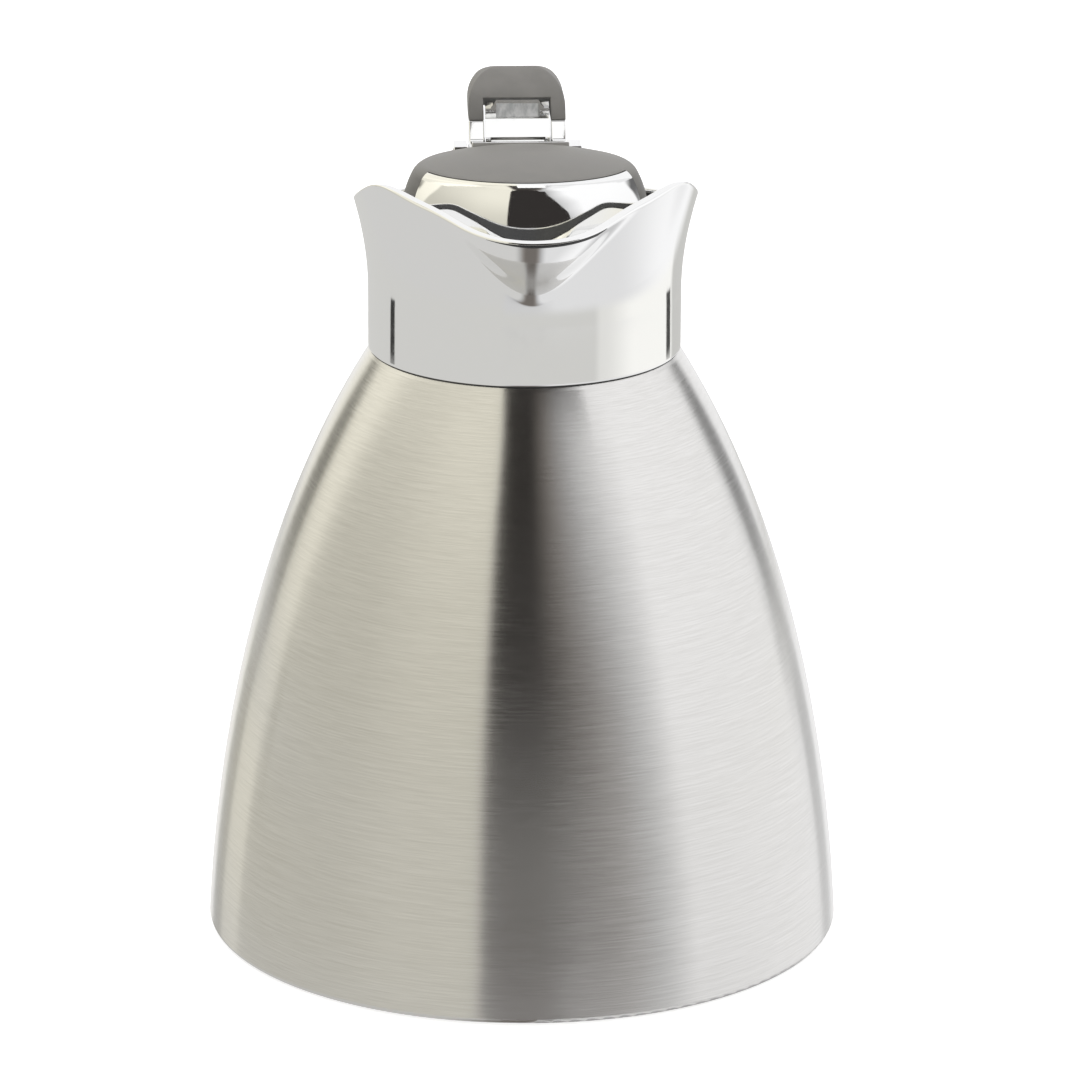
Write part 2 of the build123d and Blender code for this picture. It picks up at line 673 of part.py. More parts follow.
def handle_face():
    """The handle from the side: root at the collar, arch, and free lower end."""
    root = COLLAR_R - HANDLE_ROOT_IN
    tip_y = HANDLE_Y - HANDLE_END_IN
    outer = Spline(
        (0, COLLAR_R + HANDLE_FLAT, HANDLE_TOP_Z),
        (0, HANDLE_Y - HANDLE_SHOULDER_IN, HANDLE_TOP_Z - HANDLE_SHOULDER_DROP),
        (0, HANDLE_Y, HANDLE_TOP_Z - HANDLE_WIDEST_DROP),
        (0, tip_y, HANDLE_END_Z),
        tangents=((0, 1, 0), (0, -tan(radians(HANDLE_END_LEAN)), -1)),
    )
    inner = handle_inner()
    start = Line((0, root, HANDLE_TOP_Z), outer @ 0)
    middle = ((outer @ 1) + (inner @ 0)) / 2
    end = ThreePointArc(outer @ 1, (0, middle.Y, HANDLE_END_Z - HANDLE_END_ROUND), inner @ 0)
    close = Polyline(inner @ 1, (0, root, HANDLE_TOP_Z - HANDLE_ROOT_H), (0, root, HANDLE_TOP_Z))
    return side_face(start, outer, end, inner, *close.edges())


def grip_zone(grow):
    """The inner layer of the handle's curve, from under the root to near the end."""
    top_z = HANDLE_TOP_Z - GRIP_TOP_DROP + grow
    low_z = HANDLE_END_Z + GRIP_END_LIFT - grow
    reach = GRIP_T + grow
    inner_y = HANDLE_Y - HANDLE_T
    top_y = inner_y - HANDLE_INNER_IN
    low_y = inner_y - GRIP_END_IN
    back = Spline(
        (0, low_y + reach - GRIP_THIN, low_z),
        (0, inner_y + reach, HANDLE_TOP_Z - HANDLE_INNER_WIDEST_DROP),
        (0, top_y + reach, top_z),
    )
    rest = Polyline(back @ 1, (0, COLLAR_R, top_z), (0, COLLAR_R, low_z), back @ 0)
    return from_middle(side_face(back, *rest.edges()), FAR)


def bracket_screw_holes(radius, low, high):
    """Upright round holes at the bracket's two screws."""
    return both_sides(upright(radius, BRACKET_SCREW_X, BRACKET_SCREW_Y, low, high))


def make_handle():
    """The handle's metal frame, and the soft grip inside its curve."""
    half = HANDLE_W / 2
    whole = from_middle(handle_face(), half)
    sides = [e for e in whole.edges() if abs(abs(e.center().X) - half) < FIT and e.length > HANDLE_T]
    whole = fillet(sides, HANDLE_ROUND) - collar_body(-FIT, low=0)
    pilots = bracket_screw_holes(SMALL_SCREW_R + FIT, HANDLE_TOP_Z - PILOT_DEPTH, HANDLE_TOP_Z + OVERRUN)
    frame = whole - grip_zone(FIT) - handle_screw_holes() - pilots
    return frame, whole & grip_zone(0)


def make_handle_plate():
    """Plate inside the collar, under the screws' heads."""
    seat = COLLAR_BORE_R - PLATE_T
    plate = box(-PLATE_HALF_W, PLATE_HALF_W, seat, COLLAR_R, SCREW_Z - PLATE_HALF_H, SCREW_Z + PLATE_HALF_H)
    return (plate & upright(COLLAR_BORE_R - FIT, 0, 0, 0, FAR)) - handle_screw_holes()


def handle_screw(x):
    """A screw from inside the collar into the handle's root."""
    seat = COLLAR_BORE_R - PLATE_T
    head = along_y(SCREW_HEAD_R, x, SCREW_Z, seat - SCREW_HEAD_H, seat)
    shank = along_y(SCREW_R, x, SCREW_Z, seat, seat + SCREW_L)
    half = SCREW_SLOT_W / 2
    return head + shank - box(x - half, x + half, 0, seat - SCREW_HEAD_H + SCREW_SLOT_H, 0, FAR)


def make_handle_screws():
    return both_sides(handle_screw(SCREW_X))


# --- fixed half of the hinge --------------------------------------------------
def block_points():
    """The fixed block from the side."""
    low = HANDLE_TOP_Z + BRACKET_LIFT
    return [
        (HINGE_Y + BLOCK_BACK, HANDLE_TOP_Z),
        (HINGE_Y + BLOCK_BACK, HINGE_Z - BLOCK_BACK_DOWN),
        (HINGE_Y + BLOCK_TOP_BACK, BLOCK_TOP_Z),
        (HINGE_Y - BLOCK_TOP_FRONT, BLOCK_TOP_Z),
        (HINGE_Y - BLOCK_FRONT, HINGE_Z + BLOCK_FRONT_UP),
        (HINGE_Y - BLOCK_FRONT, low + BLOCK_NOSE),
        (HINGE_Y - BLOCK_FRONT + BLOCK_NOSE, low),
        (BRACKET_Y, low),
        (BRACKET_Y, HANDLE_TOP_Z),
    ]


def ear_points():
    """One of the two outer ears from the side."""
    low = HANDLE_TOP_Z + BRACKET_LIFT
    base_top = HANDLE_TOP_Z + BRACKET_H
    ear_top = HINGE_Z + EAR_UP
    return [
        (BRACKET_Y + BRACKET_L, HANDLE_TOP_Z),
        (BRACKET_Y + BRACKET_L, base_top),
        (HINGE_Y + EAR_HEEL, base_top + EAR_HEEL_UP),
        (HINGE_Y + EAR_HALF, ear_top - EAR_BEVEL),
        (HINGE_Y + EAR_HALF - EAR_BEVEL, ear_top),
        (HINGE_Y - EAR_HALF + EAR_BEVEL, ear_top),
        (HINGE_Y - EAR_HALF, ear_top - EAR_BEVEL),
        (HINGE_Y - EAR_HALF, low + BLOCK_NOSE),
        (HINGE_Y - EAR_HALF + BLOCK_NOSE, low),
        (BRACKET_Y, low),
        (BRACKET_Y, HANDLE_TOP_Z),
    ]


def make_hinge_bracket():
    """Bracket on the handle's top with the middle block and two ears."""
    base_top = HANDLE_TOP_Z + BRACKET_H
    base = box(-EAR_OUT, EAR_OUT, BRACKET_Y, BRACKET_Y + BRACKET_L, HANDLE_TOP_Z, base_top)
    ear = side_plate(ear_points(), EAR_IN, EAR_OUT)
    block = side_plate(block_points(), -BLOCK_W / 2, BLOCK_W / 2)
    bracket = base + both_sides(ear) + block - across(BORE_R, -FAR, FAR)
    bracket -= bracket_screw_holes(SMALL_SCREW_R + FIT, HANDLE_TOP_Z - OVERRUN, FAR)
    return bracket - bracket_screw_holes(SMALL_HEAD_R + FIT, BRACKET_SCREW_Z, FAR)


def make_bracket_screws():
    return both_sides(small_screw(BRACKET_SCREW_X, BRACKET_SCREW_Y, BRACKET_SCREW_Z, SMALL_SCREW_L))


def cap_block():
    """The cap before it is hollowed: straight in front, round about the pin behind."""
    half = CAP_W / 2
    front = box(-half, half, CAP_Y, CAP_Y + CAP_TOP_L, HINGE_Z + CAP_SIDE_UP, CAP_TOP_Z)
    reach = box(-half, half, CAP_Y, FAR, HINGE_Z + CAP_SIDE_UP, CAP_TOP_Z)
    reach += box(-half, half, HINGE_Y + CAP_HEEL_BACK, FAR, HINGE_Z - CAP_HEEL_DOWN, CAP_TOP_Z)
    return front + (across(CAP_BACK_R, -half, half) & reach)


def make_hinge_cap():
    """Polished cap over the block: sloping front, a window above it, and stepped shoulders."""
    half = CAP_W / 2
    cap = cap_block() - both_sides(box(half - CAP_STEP_W, FAR, 0, FAR, CAP_TOP_Z - CAP_STEP, FAR))
    top_sides = [e for e in cap.edges().filter_by(Axis.Y) if abs(e.center().Z - CAP_TOP_Z) < FIT]
    cap = chamfer(top_sides, CAP_BEVEL)
    before_slope = [
        (CAP_Y, HINGE_Z + CAP_FRONT_UP),
        (CAP_WALL_Y, HINGE_Z + CAP_SLOPE_UP),
        (CAP_WALL_Y, FAR),
        (0, FAR),
        (0, HINGE_Z + CAP_FRONT_UP),
    ]
    cap -= side_plate(before_slope, -FAR, FAR)
    room = [
        (HINGE_Y + BLOCK_BACK + CAP_ROOM, 0),
        (HINGE_Y + BLOCK_BACK + CAP_ROOM, HINGE_Z - BLOCK_BACK_DOWN + CAP_ROOM),
        (HINGE_Y + BLOCK_TOP_BACK + CAP_ROOM, BLOCK_TOP_Z + FIT),
        (0, BLOCK_TOP_Z + FIT),
        (0, 0),
    ]
    cap -= side_plate(room, -BLOCK_W / 2 - FIT, BLOCK_W / 2 + FIT)
    cap -= bracket_screw_holes(SMALL_HEAD_R + FIT, 0, BRACKET_SCREW_Z + SMALL_HEAD_H + CAP_ROOM)
    half = WINDOW_W / 2
    return cap - box(-half, half, 0, WINDOW_Y, WINDOW_Z, WINDOW_Z + WINDOW_H)


def make_cap_inlay():
    """Plate at the back of the cap's window."""
    half = WINDOW_W / 2 - FIT
    return box(-half, half, WINDOW_Y - INLAY_T, WINDOW_Y, WINDOW_Z + FIT, WINDOW_Z + WINDOW_H - FIT)


def make_hinge_pin():
    pin = across(PIN_R, -EAR_OUT - PIN_OVER, EAR_OUT + PIN_OVER)
    return chamfer(pin.edges(), PIN_BEVEL)


# --- lever, moving with the lid -----------------------------------------------
def notch_floor_z(y):
    """Height of the notch's sloping floor."""
    slope = (NOTCH_Z - NOTCH_BACK_Z) / (NOTCH_BACK_Y - NOTCH_Y)
    return NOTCH_Z - slope * (y - NOTCH_Y)


def horn_points():
    """The arm's horn, from the ring up to the pad."""
    return [
        (HINGE_Y - HORN_FRONT, HINGE_Z + HORN_FRONT_UP),
        (HINGE_Y + HORN_CREST_BACK, ARM_TOP_Z),
        (HINGE_Y + HORN_TOP_BACK, ARM_TOP_Z),
        (HINGE_Y + ARM_RING_R, HINGE_Z),
    ]


def tongue_points():
    """The arm's tongue, from the ring forward into the lid."""
    front, back = NOTCH_Y + FIT, NOTCH_BACK_Y
    top = HINGE_Z + NOTCH_TOP_UP - NOTCH_WALL
    return [
        (HINGE_Y, HINGE_Z - ARM_RING_R),
        (HINGE_Y, HINGE_Z + ARM_RING_R),
        (HINGE_Y - TONGUE_NECK, top - TONGUE_DROP),
        (front + NOTCH_WALL, top),
        (front, top),
        (front, notch_floor_z(front) + FIT),
        (back, notch_floor_z(back) + FIT),
    ]


def tang_box(grow):
    """Peg on top of the arm that the pad is moulded round."""
    y = HINGE_Y + TANG_BACK
    half_w, half_l = TANG_W / 2 + grow, TANG_L / 2 + grow
    low, high = ARM_TOP_Z - OVERRUN, ARM_TOP_Z + TANG_H + grow
    return box(ARM_MID - half_w, ARM_MID + half_w, y - half_l, y + half_l, low, high)


def arm_solid():
    """One arm, on the +X side."""
    ring = across(ARM_RING_R, ARM_IN, ARM_OUT)
    horn = side_plate(horn_points(), ARM_IN, ARM_OUT)
    tongue = side_plate(tongue_points(), ARM_IN, ARM_OUT)
    arm = ring + horn + tongue + tang_box(0)
    return arm - across(BORE_R + BUSH_WALL + FIT, 0, FAR)


def make_lever_frame():
    """Two arms, the wall and floor between them, and the yoke that screws to the lid."""
    front, back = NOTCH_Y + FIT, NOTCH_BACK_Y - NOTCH_FLOOR_CUT
    points = [
        (front, HINGE_Z + NOTCH_TOP_UP),
        (front, notch_floor_z(front) + FIT),
        (back, notch_floor_z(back) + FIT),
        (back, notch_floor_z(back) + FIT + NOTCH_WALL),
        (front + NOTCH_WALL, notch_floor_z(front) + FIT + NOTCH_WALL),
        (front + NOTCH_WALL, HINGE_Z + NOTCH_TOP_UP),
    ]
    wall = side_plate(points, -ARM_OUT, ARM_OUT) - across(NOTCH_R, -FAR, FAR)
    yoke_z = CORE_TOP_Z + YOKE_T
    yoke = box(-ARM_OUT, ARM_OUT, NOTCH_Y - YOKE_L, front + NOTCH_WALL, CORE_TOP_Z, yoke_z)
    holes = both_sides(upright(SMALL_SCREW_R + FIT, YOKE_SCREW_X, YOKE_SCREW_Y, 0, yoke_z + OVERRUN))
    return both_sides(arm_solid()) + wall + yoke - holes


def make_lid_screws():
    return both_sides(small_screw(YOKE_SCREW_X, YOKE_SCREW_Y, CORE_TOP_Z + YOKE_T, LID_SCREW_L))


def make_arm_bushes():
    return both_sides(across(BORE_R + BUSH_WALL, ARM_IN, ARM_OUT) - across(BORE_R, 0, FAR))


def pad_face():
    """The thumb pad from the side."""
    front = Spline(
        (0, HINGE_Y + PAD_TOE_BACK, ARM_TOP_Z),
        (0, HINGE_Y + PAD_BELLY_BACK, ARM_TOP_Z + PAD_BELLY_UP),
        (0, HINGE_Y + PAD_LIP_BACK, PAD_TOP_Z - PAD_LIP_DROP),
        (0, HINGE_Y + PAD_CROWN_BACK, PAD_TOP_Z),
    )
    back = Spline(
        (0, HINGE_Y + PAD_EDGE_BACK, PAD_TOP_Z - PAD_EDGE_DROP),
        (0, HINGE_Y + PAD_HEEL_BACK, PAD_TOP_Z - PAD_HEEL_DROP),
        (0, HINGE_Y + PAD_FOOT_BACK, ARM_TOP_Z),
    )
    crown_y = HINGE_Y + (PAD_CROWN_BACK + PAD_EDGE_BACK) / 2 + PAD_EDGE_DROP / 4
    crown = ThreePointArc(front @ 1, (0, crown_y, PAD_TOP_Z - PAD_EDGE_DROP / 4), back @ 0)
    return side_face(front, crown, back, Line(back @ 1, front @ 0))


def make_thumb_pad():
    """Soft pad: an upside-down U that straddles the fixed block as it tips back."""
    outline = box(-ARM_OUT, ARM_OUT, 0, FAR, ARM_TOP_Z - OVERRUN, PAD_TOP_Z)
    corners = [e for e in outline.edges().filter_by(Axis.Y) if e.center().Z > ARM_TOP_Z]
    pad = from_middle(pad_face(), ARM_OUT) & fillet(corners, PAD_CORNER)
    pad -= across(CAP_BACK_R + PAD_RUN, -ARM_IN, ARM_IN)
    pad -= box(-ARM_IN, ARM_IN, 0, HINGE_Y + PAD_OPEN_BACK, 0, FAR)
    return pad - both_sides(tang_box(FIT))


# --- lid ----------------------------------------------------------------------
def tilted(solid):
    """Moves a piece of the lid's top from its own level frame to its place."""
    return Pos(0, 0, LID_PIVOT_Z) * Rot(-LID_TILT, 0, 0) * solid


def dome_drop(r, base_r):
    """How far the dome has fallen at a radius."""
    sphere_r = (base_r**2 + LID_DOME_H**2) / (2 * LID_DOME_H)
    return sphere_r - sqrt(sphere_r**2 - r**2)


def lid_form(inset):
    """The lid's outer form in its own frame, as a full solid, moved inwards by the inset."""
    foot_r, shoulder_r = LID_FOOT_R - inset, LID_SHOULDER_R - inset
    shoulder = LID_SHOULDER_H - inset
    top = shoulder + LID_DOME_H
    belly = at(foot_r + LID_BELLY, LID_BELLY_UP)
    side = ThreePointArc(at(foot_r, -LID_DEPTH), belly, at(shoulder_r, shoulder))
    middle_r = shoulder_r / 2
    dome = ThreePointArc(side @ 1, at(middle_r, top - dome_drop(middle_r, shoulder_r)), at(0, top))
    rest = Polyline(dome @ 1, at(0, -LID_DEPTH), side @ 0)
    form = turned(side, dome, *rest.edges())
    edge = [e for e in form.edges() if abs(e.center().Z - shoulder) < FIT]
    return fillet(edge, LID_EDGE_R - inset)


def front_sector(grow):
    """The wedge of the lid that the polished front takes up, in the lid's own frame."""
    angle = radians(PANEL_ANGLE)
    x, y = FAR * sin(angle), -FAR * cos(angle)
    start = grow / sin(angle)
    low, high = -LID_DEPTH - OVERRUN, PANEL_TOP_H + grow
    corners = [(0, start, low), (x, y + start, low), (x, -FAR, low), (-x, -FAR, low), (-x, y + start, low)]
    return extrude(make_face(Polyline(*corners, close=True).edges()), amount=high - low, dir=(0, 0, 1))


def notch():
    """Room at the back of the lid for the fixed block and the arms."""
    points = [
        (NOTCH_Y, NOTCH_Z),
        (NOTCH_BACK_Y, NOTCH_BACK_Z),
        (FAR, NOTCH_BACK_Z),
        (FAR, FAR),
        (NOTCH_Y, FAR),
    ]
    return side_plate(points, -ARM_OUT - NOTCH_SIDE_GAP, ARM_OUT + NOTCH_SIDE_GAP)


def make_lid_cover():
    """Soft cover over the dome, with a skirt down the sides and the back."""
    skin = lid_form(0) - lid_form(COVER_T)
    cover = (skin & slab(-COVER_SKIRT, FAR)) - front_sector(0)
    return tilted(cover) - notch()


def make_lid_shell():
    """Polished ring of the lid: hidden under the cover, and at the surface in front and below."""
    wall = COVER_T + LID_WALL
    full = lid_form(0) - lid_form(wall)
    top = LID_SHOULDER_H - wall - RING_TOP_DROP
    under = (lid_form(COVER_T + FIT) - lid_form(wall)) & slab(-LID_DEPTH, top)
    band = full & slab(-LID_DEPTH, -COVER_SKIRT - PANEL_GAP)
    panel = full & front_sector(-PANEL_GAP)
    return tilted(under + band + panel) - notch()


def core_outline():
    """The core from the plug's axis round to its top."""
    return [
        (0, PLUG_Z),
        (PLUG_R, PLUG_Z),
        (PLUG_R, FLANGE_LOW_Z - SEAL_T),
        (PLUG_R + SEAL_T, FLANGE_LOW_Z),
        (CORE_R, FLANGE_LOW_Z),
        (CORE_R, CORE_TOP_Z),
        (0, CORE_TOP_Z),
    ]


def core_hollow(inset):
    """The space inside the core, smaller all round by the inset."""
    wall = CORE_WALL + inset
    return turned_points(
        (0, PLUG_Z + wall),
        (PLUG_R - wall, PLUG_Z + wall),
        (PLUG_R - wall, FLANGE_LOW_Z + wall),
        (CORE_R - wall, FLANGE_LOW_Z + wall),
        (CORE_R - wall, CORE_TOP_Z - wall),
        (0, CORE_TOP_Z - wall),
    )


def lid_screw_holes(radius):
    """Holes for the screws that go into the core from above and from below."""
    low, high = CORE_TOP_Z - LID_SCREW_L, CORE_TOP_Z + OVERRUN
    from_above = both_sides(upright(radius, YOKE_SCREW_X, YOKE_SCREW_Y, low, high))
    return from_above + upright(radius, 0, 0, PLUG_Z - OVERRUN, PLUG_Z + LID_SCREW_L)


def make_lid_core():
    """Plastic plug body with a hollow for the foam."""
    return turned_points(*core_outline()) - core_hollow(0) - lid_screw_holes(SMALL_SCREW_R + FIT)


def make_lid_insulation():
    return core_hollow(FIT) - lid_screw_holes(SMALL_SCREW_R + 2 * FIT)


def make_lid_gasket():
    """Soft ring under the core's flange, along the sloping seat."""
    low_r = POUR_BORE_R - SEAL_GAP * sqrt(2)
    top_r = PLUG_R + SEAL_T + SEAL_OVER
    return turned_points(
        (PLUG_R + FIT, PLUG_Z),
        (PLUG_R + SEAL_SKIRT, PLUG_Z),
        (low_r - SEAL_LIP, SEAT_Z - SEAL_LIP),
        (top_r, SEAT_Z + top_r - low_r),
        (top_r, FLANGE_LOW_Z - FIT),
        (PLUG_R + SEAL_T + FIT, FLANGE_LOW_Z - FIT),
        (PLUG_R + FIT, FLANGE_LOW_Z - SEAL_T - FIT),
    )


def make_lid_base_plate():
    """Steel disc under the plug."""
    plate = upright(PLUG_R + PLATE_OVER, 0, 0, PLUG_BOTTOM_Z, PLUG_Z)
    return plate - upright(SMALL_SCREW_R + FIT, 0, 0, 0, FAR)


def make_base_plate_screw():
    """Screw that points up into the core, head below the plate."""
    level = small_screw(0, 0, 0, LID_SCREW_L)
    return Pos(0, 0, PLUG_BOTTOM_Z) * Rot(180, 0, 0) * level


def build_all():
    inner_flask, inner_bottom = make_inner_flask()
    handle_frame, handle_grip = make_handle()
    return {
        "outer_shell": make_outer_shell(),
        "outer_bottom": make_outer_bottom(),
        "vacuum_seal": make_vacuum_seal(),
        "inner_flask": inner_flask,
        "inner_bottom": inner_bottom,
        "heat_foil": make_heat_foil(),
        "getter": make_getter(),
        "foot_ring": make_foot_ring(),
        "seam_ring": make_seam_ring(),
        "neck_ring": make_neck_ring(),
        "neck_gasket": make_neck_gasket(),
        "pour_insert": make_pour_insert(),
        "collar": make_collar(),
        "handle_plate": make_handle_plate(),
        "handle_screws": make_handle_screws(),
        "handle_frame": handle_frame,
        "handle_grip": handle_grip,
        "hinge_bracket": make_hinge_bracket(),
        "bracket_screws": make_bracket_screws(),
        "hinge_cap": make_hinge_cap(),
        "cap_inlay": make_cap_inlay(),
        "hinge_pin": make_hinge_pin(),
        "lever_frame": make_lever_frame(),
        "thumb_pad": make_thumb_pad(),
        "arm_bushes": make_arm_bushes(),
        "lid_shell": make_lid_shell(),
        "lid_cover": make_lid_cover(),
        "lid_core": make_lid_core(),
        "lid_insulation": make_lid_insulation(),
        "lid_gasket": make_lid_gasket(),
        "lid_base_plate": make_lid_base_plate(),
        "base_plate_screw": make_base_plate_screw(),
        "lid_screws": make_lid_screws(),
    }


if __name__ == "__main__":
    os.makedirs("parts", exist_ok=True)
    for name, solid in build_all().items():
        export_step(solid, f"parts/{name}.step")
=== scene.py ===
import json
import math

import bpy
import numpy as np
from mathutils import Matrix, Vector


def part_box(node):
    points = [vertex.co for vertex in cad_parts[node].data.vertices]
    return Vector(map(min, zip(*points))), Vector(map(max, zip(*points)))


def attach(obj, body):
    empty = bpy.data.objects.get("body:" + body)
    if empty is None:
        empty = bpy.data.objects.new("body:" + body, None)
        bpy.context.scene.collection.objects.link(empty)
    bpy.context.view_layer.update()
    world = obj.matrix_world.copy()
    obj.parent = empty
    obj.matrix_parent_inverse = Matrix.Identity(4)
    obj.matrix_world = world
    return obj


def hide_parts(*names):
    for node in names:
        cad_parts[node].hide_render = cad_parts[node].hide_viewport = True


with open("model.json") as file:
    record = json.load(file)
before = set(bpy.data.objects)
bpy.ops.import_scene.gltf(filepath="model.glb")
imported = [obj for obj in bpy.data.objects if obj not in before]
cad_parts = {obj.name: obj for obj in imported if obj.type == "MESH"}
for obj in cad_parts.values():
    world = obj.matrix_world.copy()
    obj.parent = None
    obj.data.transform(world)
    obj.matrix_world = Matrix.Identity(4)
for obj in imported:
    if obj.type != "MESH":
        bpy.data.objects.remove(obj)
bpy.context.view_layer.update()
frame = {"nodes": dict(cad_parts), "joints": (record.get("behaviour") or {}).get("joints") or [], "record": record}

# Thermal carafe with a flip lid. The beak points to -Y and the handle to +Y. In the named values lengths
# are millimetres, unless a comment says metres, and angles are degrees.
MM = 0.001


def in_mm(metres):
    """A length of the frame in millimetres, without the rounding noise of its files."""
    return round(metres / MM, 4)


# --- camera: a long lens, a little above the carafe and nearly in line with its beak
CAMERA_DISTANCE = 1530.4
CAMERA_HEIGHT = 585.2
CAMERA_PITCH = 17.59
CAMERA_ROLL = 0.29
CAMERA_PAN = 0.156
CAMERA_YAW = 3.0          # the carafe's beak points this much to the right of the camera
FOCAL_PIXELS = 6337.0
IMAGE_PIXELS = 1080.0
SENSOR = 36.0
CLIP_START = 0.01         # metres

# --- places taken from the frame
SEAM_LOW, SEAM_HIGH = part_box("seam_ring")
BODY_H = in_mm(SEAM_LOW.z)
COLLAR_Z = in_mm(SEAM_HIGH.z)
HINGE_Y, HINGE_Z = (in_mm(c) for c in frame["joints"][0]["pos_m"][1:])

# --- collar: the shape of its solid
COLLAR_R = 39.2
COLLAR_WALL = 2.4
FLARE_Z = BODY_H + 15.0   # the side is upright up to here
FLARE_OUT = 7.4           # and runs out this far by TRIM_Z
FLARE_LEAN = 18.0         # where it leans this much
FLARE_PULL = 13.0
PEAK_Z = BODY_H + 48.4    # top of the rim, behind the beak
PEAK_Y = -27.0
PEAK_HALF = 8.0
PEAK_DROP_FRONT = 3.1     # PEAK_HALF in front of its top the rim is this much lower
PEAK_DROP_BACK = 2.3
SIDE_Z = BODY_H + 38.9    # the rim beside the axis
BACK_Z = BODY_H + 30.9    # the rim at the back
TIP_Z = BODY_H + 39.6     # the rim at the beak's tip
TIP_Y = -COLLAR_R - 11.7
TRIM_OVER = 3.0           # the rim is cut from a blank this much higher
TRIM_Z = PEAK_Z + TRIM_OVER
BEAK_R = 21.0             # the beak's radius at its tip's height
BEAK_SLOPE = 0.98         # and how fast it grows with the height
BEAK_WALL = 2.6
KEEL_START = -COLLAR_R + 3.2

# --- collar: what its visible skin adds
SEAM_GAP = 0.3            # dark line between body and collar
KEEL_Z = BODY_H + 20.3
KEEL_ROUND = 2.2          # the keel's lowest end is this much rounder than the beak's cone
KEEL_FADE = 3.5           # height over which that wears off
CREASE = 3.0              # width over which body and beak of the collar flow into each other
BEAD = 0.85               # the rim's rounding starts this far below its edge
RIM_SQUARE = 0.6          # below 1 the rim's rounding is flatter on top
FOOT_STEPS = ((0.5, 0.0), (0.12, 0.05), (0.02, 0.18))  # the foot's rounding: how far in and how far up
FOOT_ROUND = 0.4          # the side is straight from here up

# --- collar: its mesh
FRONT_HALF = 80.0         # the columns are close up to this far on each side of the beak
FRONT_STEP = 0.4
BACK_STEP = 1.25
OUTER_ROWS = 110
RIM_ROWS = 20
INNER_ROWS = 30
DARK_BAND_ROWS = 20
LINE_SAMPLES = 60         # points on each stretch of the rim's line
FLARE_SAMPLES = 200
SEARCH_OVER = 2.0         # the rim's height is looked for up to this far above the trimmed blank
HALVINGS = 50

# --- collar: dark band inside, and painted shade under the bead in front of the beak
DARK_BAND_DROP = 0.9         # the band starts this far below the rim
DARK_BAND_H = 3.0
DARK_BAND_MORE = 5.0         # it is this much higher at the beak
DARK_BAND_SPREAD = 20.0      # and that wears off over this angle
DARK_BAND_T = 0.3
DARK_BAND_GAP = 0.02
SHADE_LINE_DROP = 0.42        # the painted shade line starts this far below the rim
SHADE_LINE_H = 0.75
SHADE_LINE_T = 0.3
SHADE_LINE_PROUD = 0.03
SHADE_LINE_LEFT = -14.0       # where it ends, as angles round the axis
SHADE_LINE_RIGHT = 23.0
SHADE_LINE_STEP = 0.5
TAPER_LEFT = 12.0         # it thins out over these angles
TAPER_RIGHT = 4.0
TAPER_END = 0.03          # to this share of its height

# --- facets beside the cap's stepped top
FACET_IN = 5.6            # half width at the front
FACET_OUT = 8.1           # half width at the back
FACET_FRONT = HINGE_Y + 1.7
FACET_SLANT = FACET_FRONT + 0.8
FACET_BACK = FACET_FRONT + 1.0
FACET_LOW = HINGE_Z + 11.0
FACET_HIGH = HINGE_Z + 13.55

# --- rounded edges of small parts
SOFT_EDGES = {"hinge_cap": 0.3, "lever_frame": 0.35, "hinge_bracket": 0.25, "thumb_pad": 0.9}
SOFT_SEGMENTS = 3
SOFT_ANGLE = 30.0         # edges sharper than this are rounded
WELD_DISTANCE = 1e-6      # metres
NORMAL_WEIGHT = 50

# --- the room that reflections show. A pair is a span over which the room changes, and two pairs are a span and
#     the levels before and after it. It is a span of turn, which is the angle round the axis, 0 towards the
#     photograph's camera and positive to its right; of rise over the horizon; of far, which is the turn to
#     either side, larger where it is high; or of x or y in a direction of length 1.
FAR_RISE = 8.0                                # far is the turn plus FAR_SHARE of the rise plus this
FAR_SHARE = 0.6
LEFT_BY_RISE = ((8.0, 42.0), (0.69, 0.92))    # rise: left wall
LEFT_BY_TURN = ((-80.0, -40.0), (-0.075, 0.0))
LEFT_FOOT = ((-17.0, -9.0), (-0.05, 0.0))     # rise
LEFT_END = (120.0, 123.5)                     # far: brighter strip at its far end
LEFT_END_BY_RISE = ((-5.0, 12.0), (0.27, 0.42))
GAP_EDGE = (-17.0, -12.5)                     # turn: the left wall ends and the dark gap starts
GAP_LOW = ((-17.0, -6.0), (0.2, 0.09))        # rise
GAP_HIGH = ((-6.0, 12.0), (0.0, -0.06))
GAP_TURN = 5.0                                # turn: the gap starts to climb to the right wall
CLIMB_POWER = ((-12.0, 22.0), (3.8, 1.1))     # rise: and climbs by this power
RIGHT_TURN_LOW = ((-8.0, 5.0), (66.0, 61.0))  # rise: up to this turn
RIGHT_TURN_HIGH = ((28.0, 44.0), (0.0, -14.0))
RIGHT_BY_RISE = ((-20.0, 30.0), (1.0, 1.08))  # rise: right wall
CEILING_EDGE = (57.0, 65.0)                   # rise: the walls end and the ceiling starts
CEILING_LEVEL = 0.95
BEAM_LEFT = (-0.21, -0.15)                    # x: dark beam in the ceiling
BEAM_RIGHT = (0.12, 0.3)
BEAM_BACK = (0.25, 0.45)                      # y
BEAM_LEVEL = 0.06
TABLE_EDGE = (-19.5, -16.5)                   # rise: the table ends and the walls start
TABLE_BY_TURN = ((5.0, 25.0), (0.65, 0.78))
TABLE_BEHIND = ((70.0, 125.0), (0.0, 0.22))   # turn
DIM_RISE = (-32.0, -25.0)                     # rise: below this the table is dimmer
DIM_TURN = (120.0, 145.0)                     # turn: and only beyond this
DIM = 0.4
STRIP_LEFT = (-0.3, -0.1)                     # x: dark strip on the table in front
STRIP_RIGHT = (0.04, 0.26)
STRIP_BACK = (0.0, 0.12)                      # y
STRIP_RISE = (-33.0, -24.0)
STRIP_LEVEL = 0.17
FLAG_START = (136.5, 140.5)                   # far: dark flags behind on both sides
FLAG_END = (149.5, 153.0)
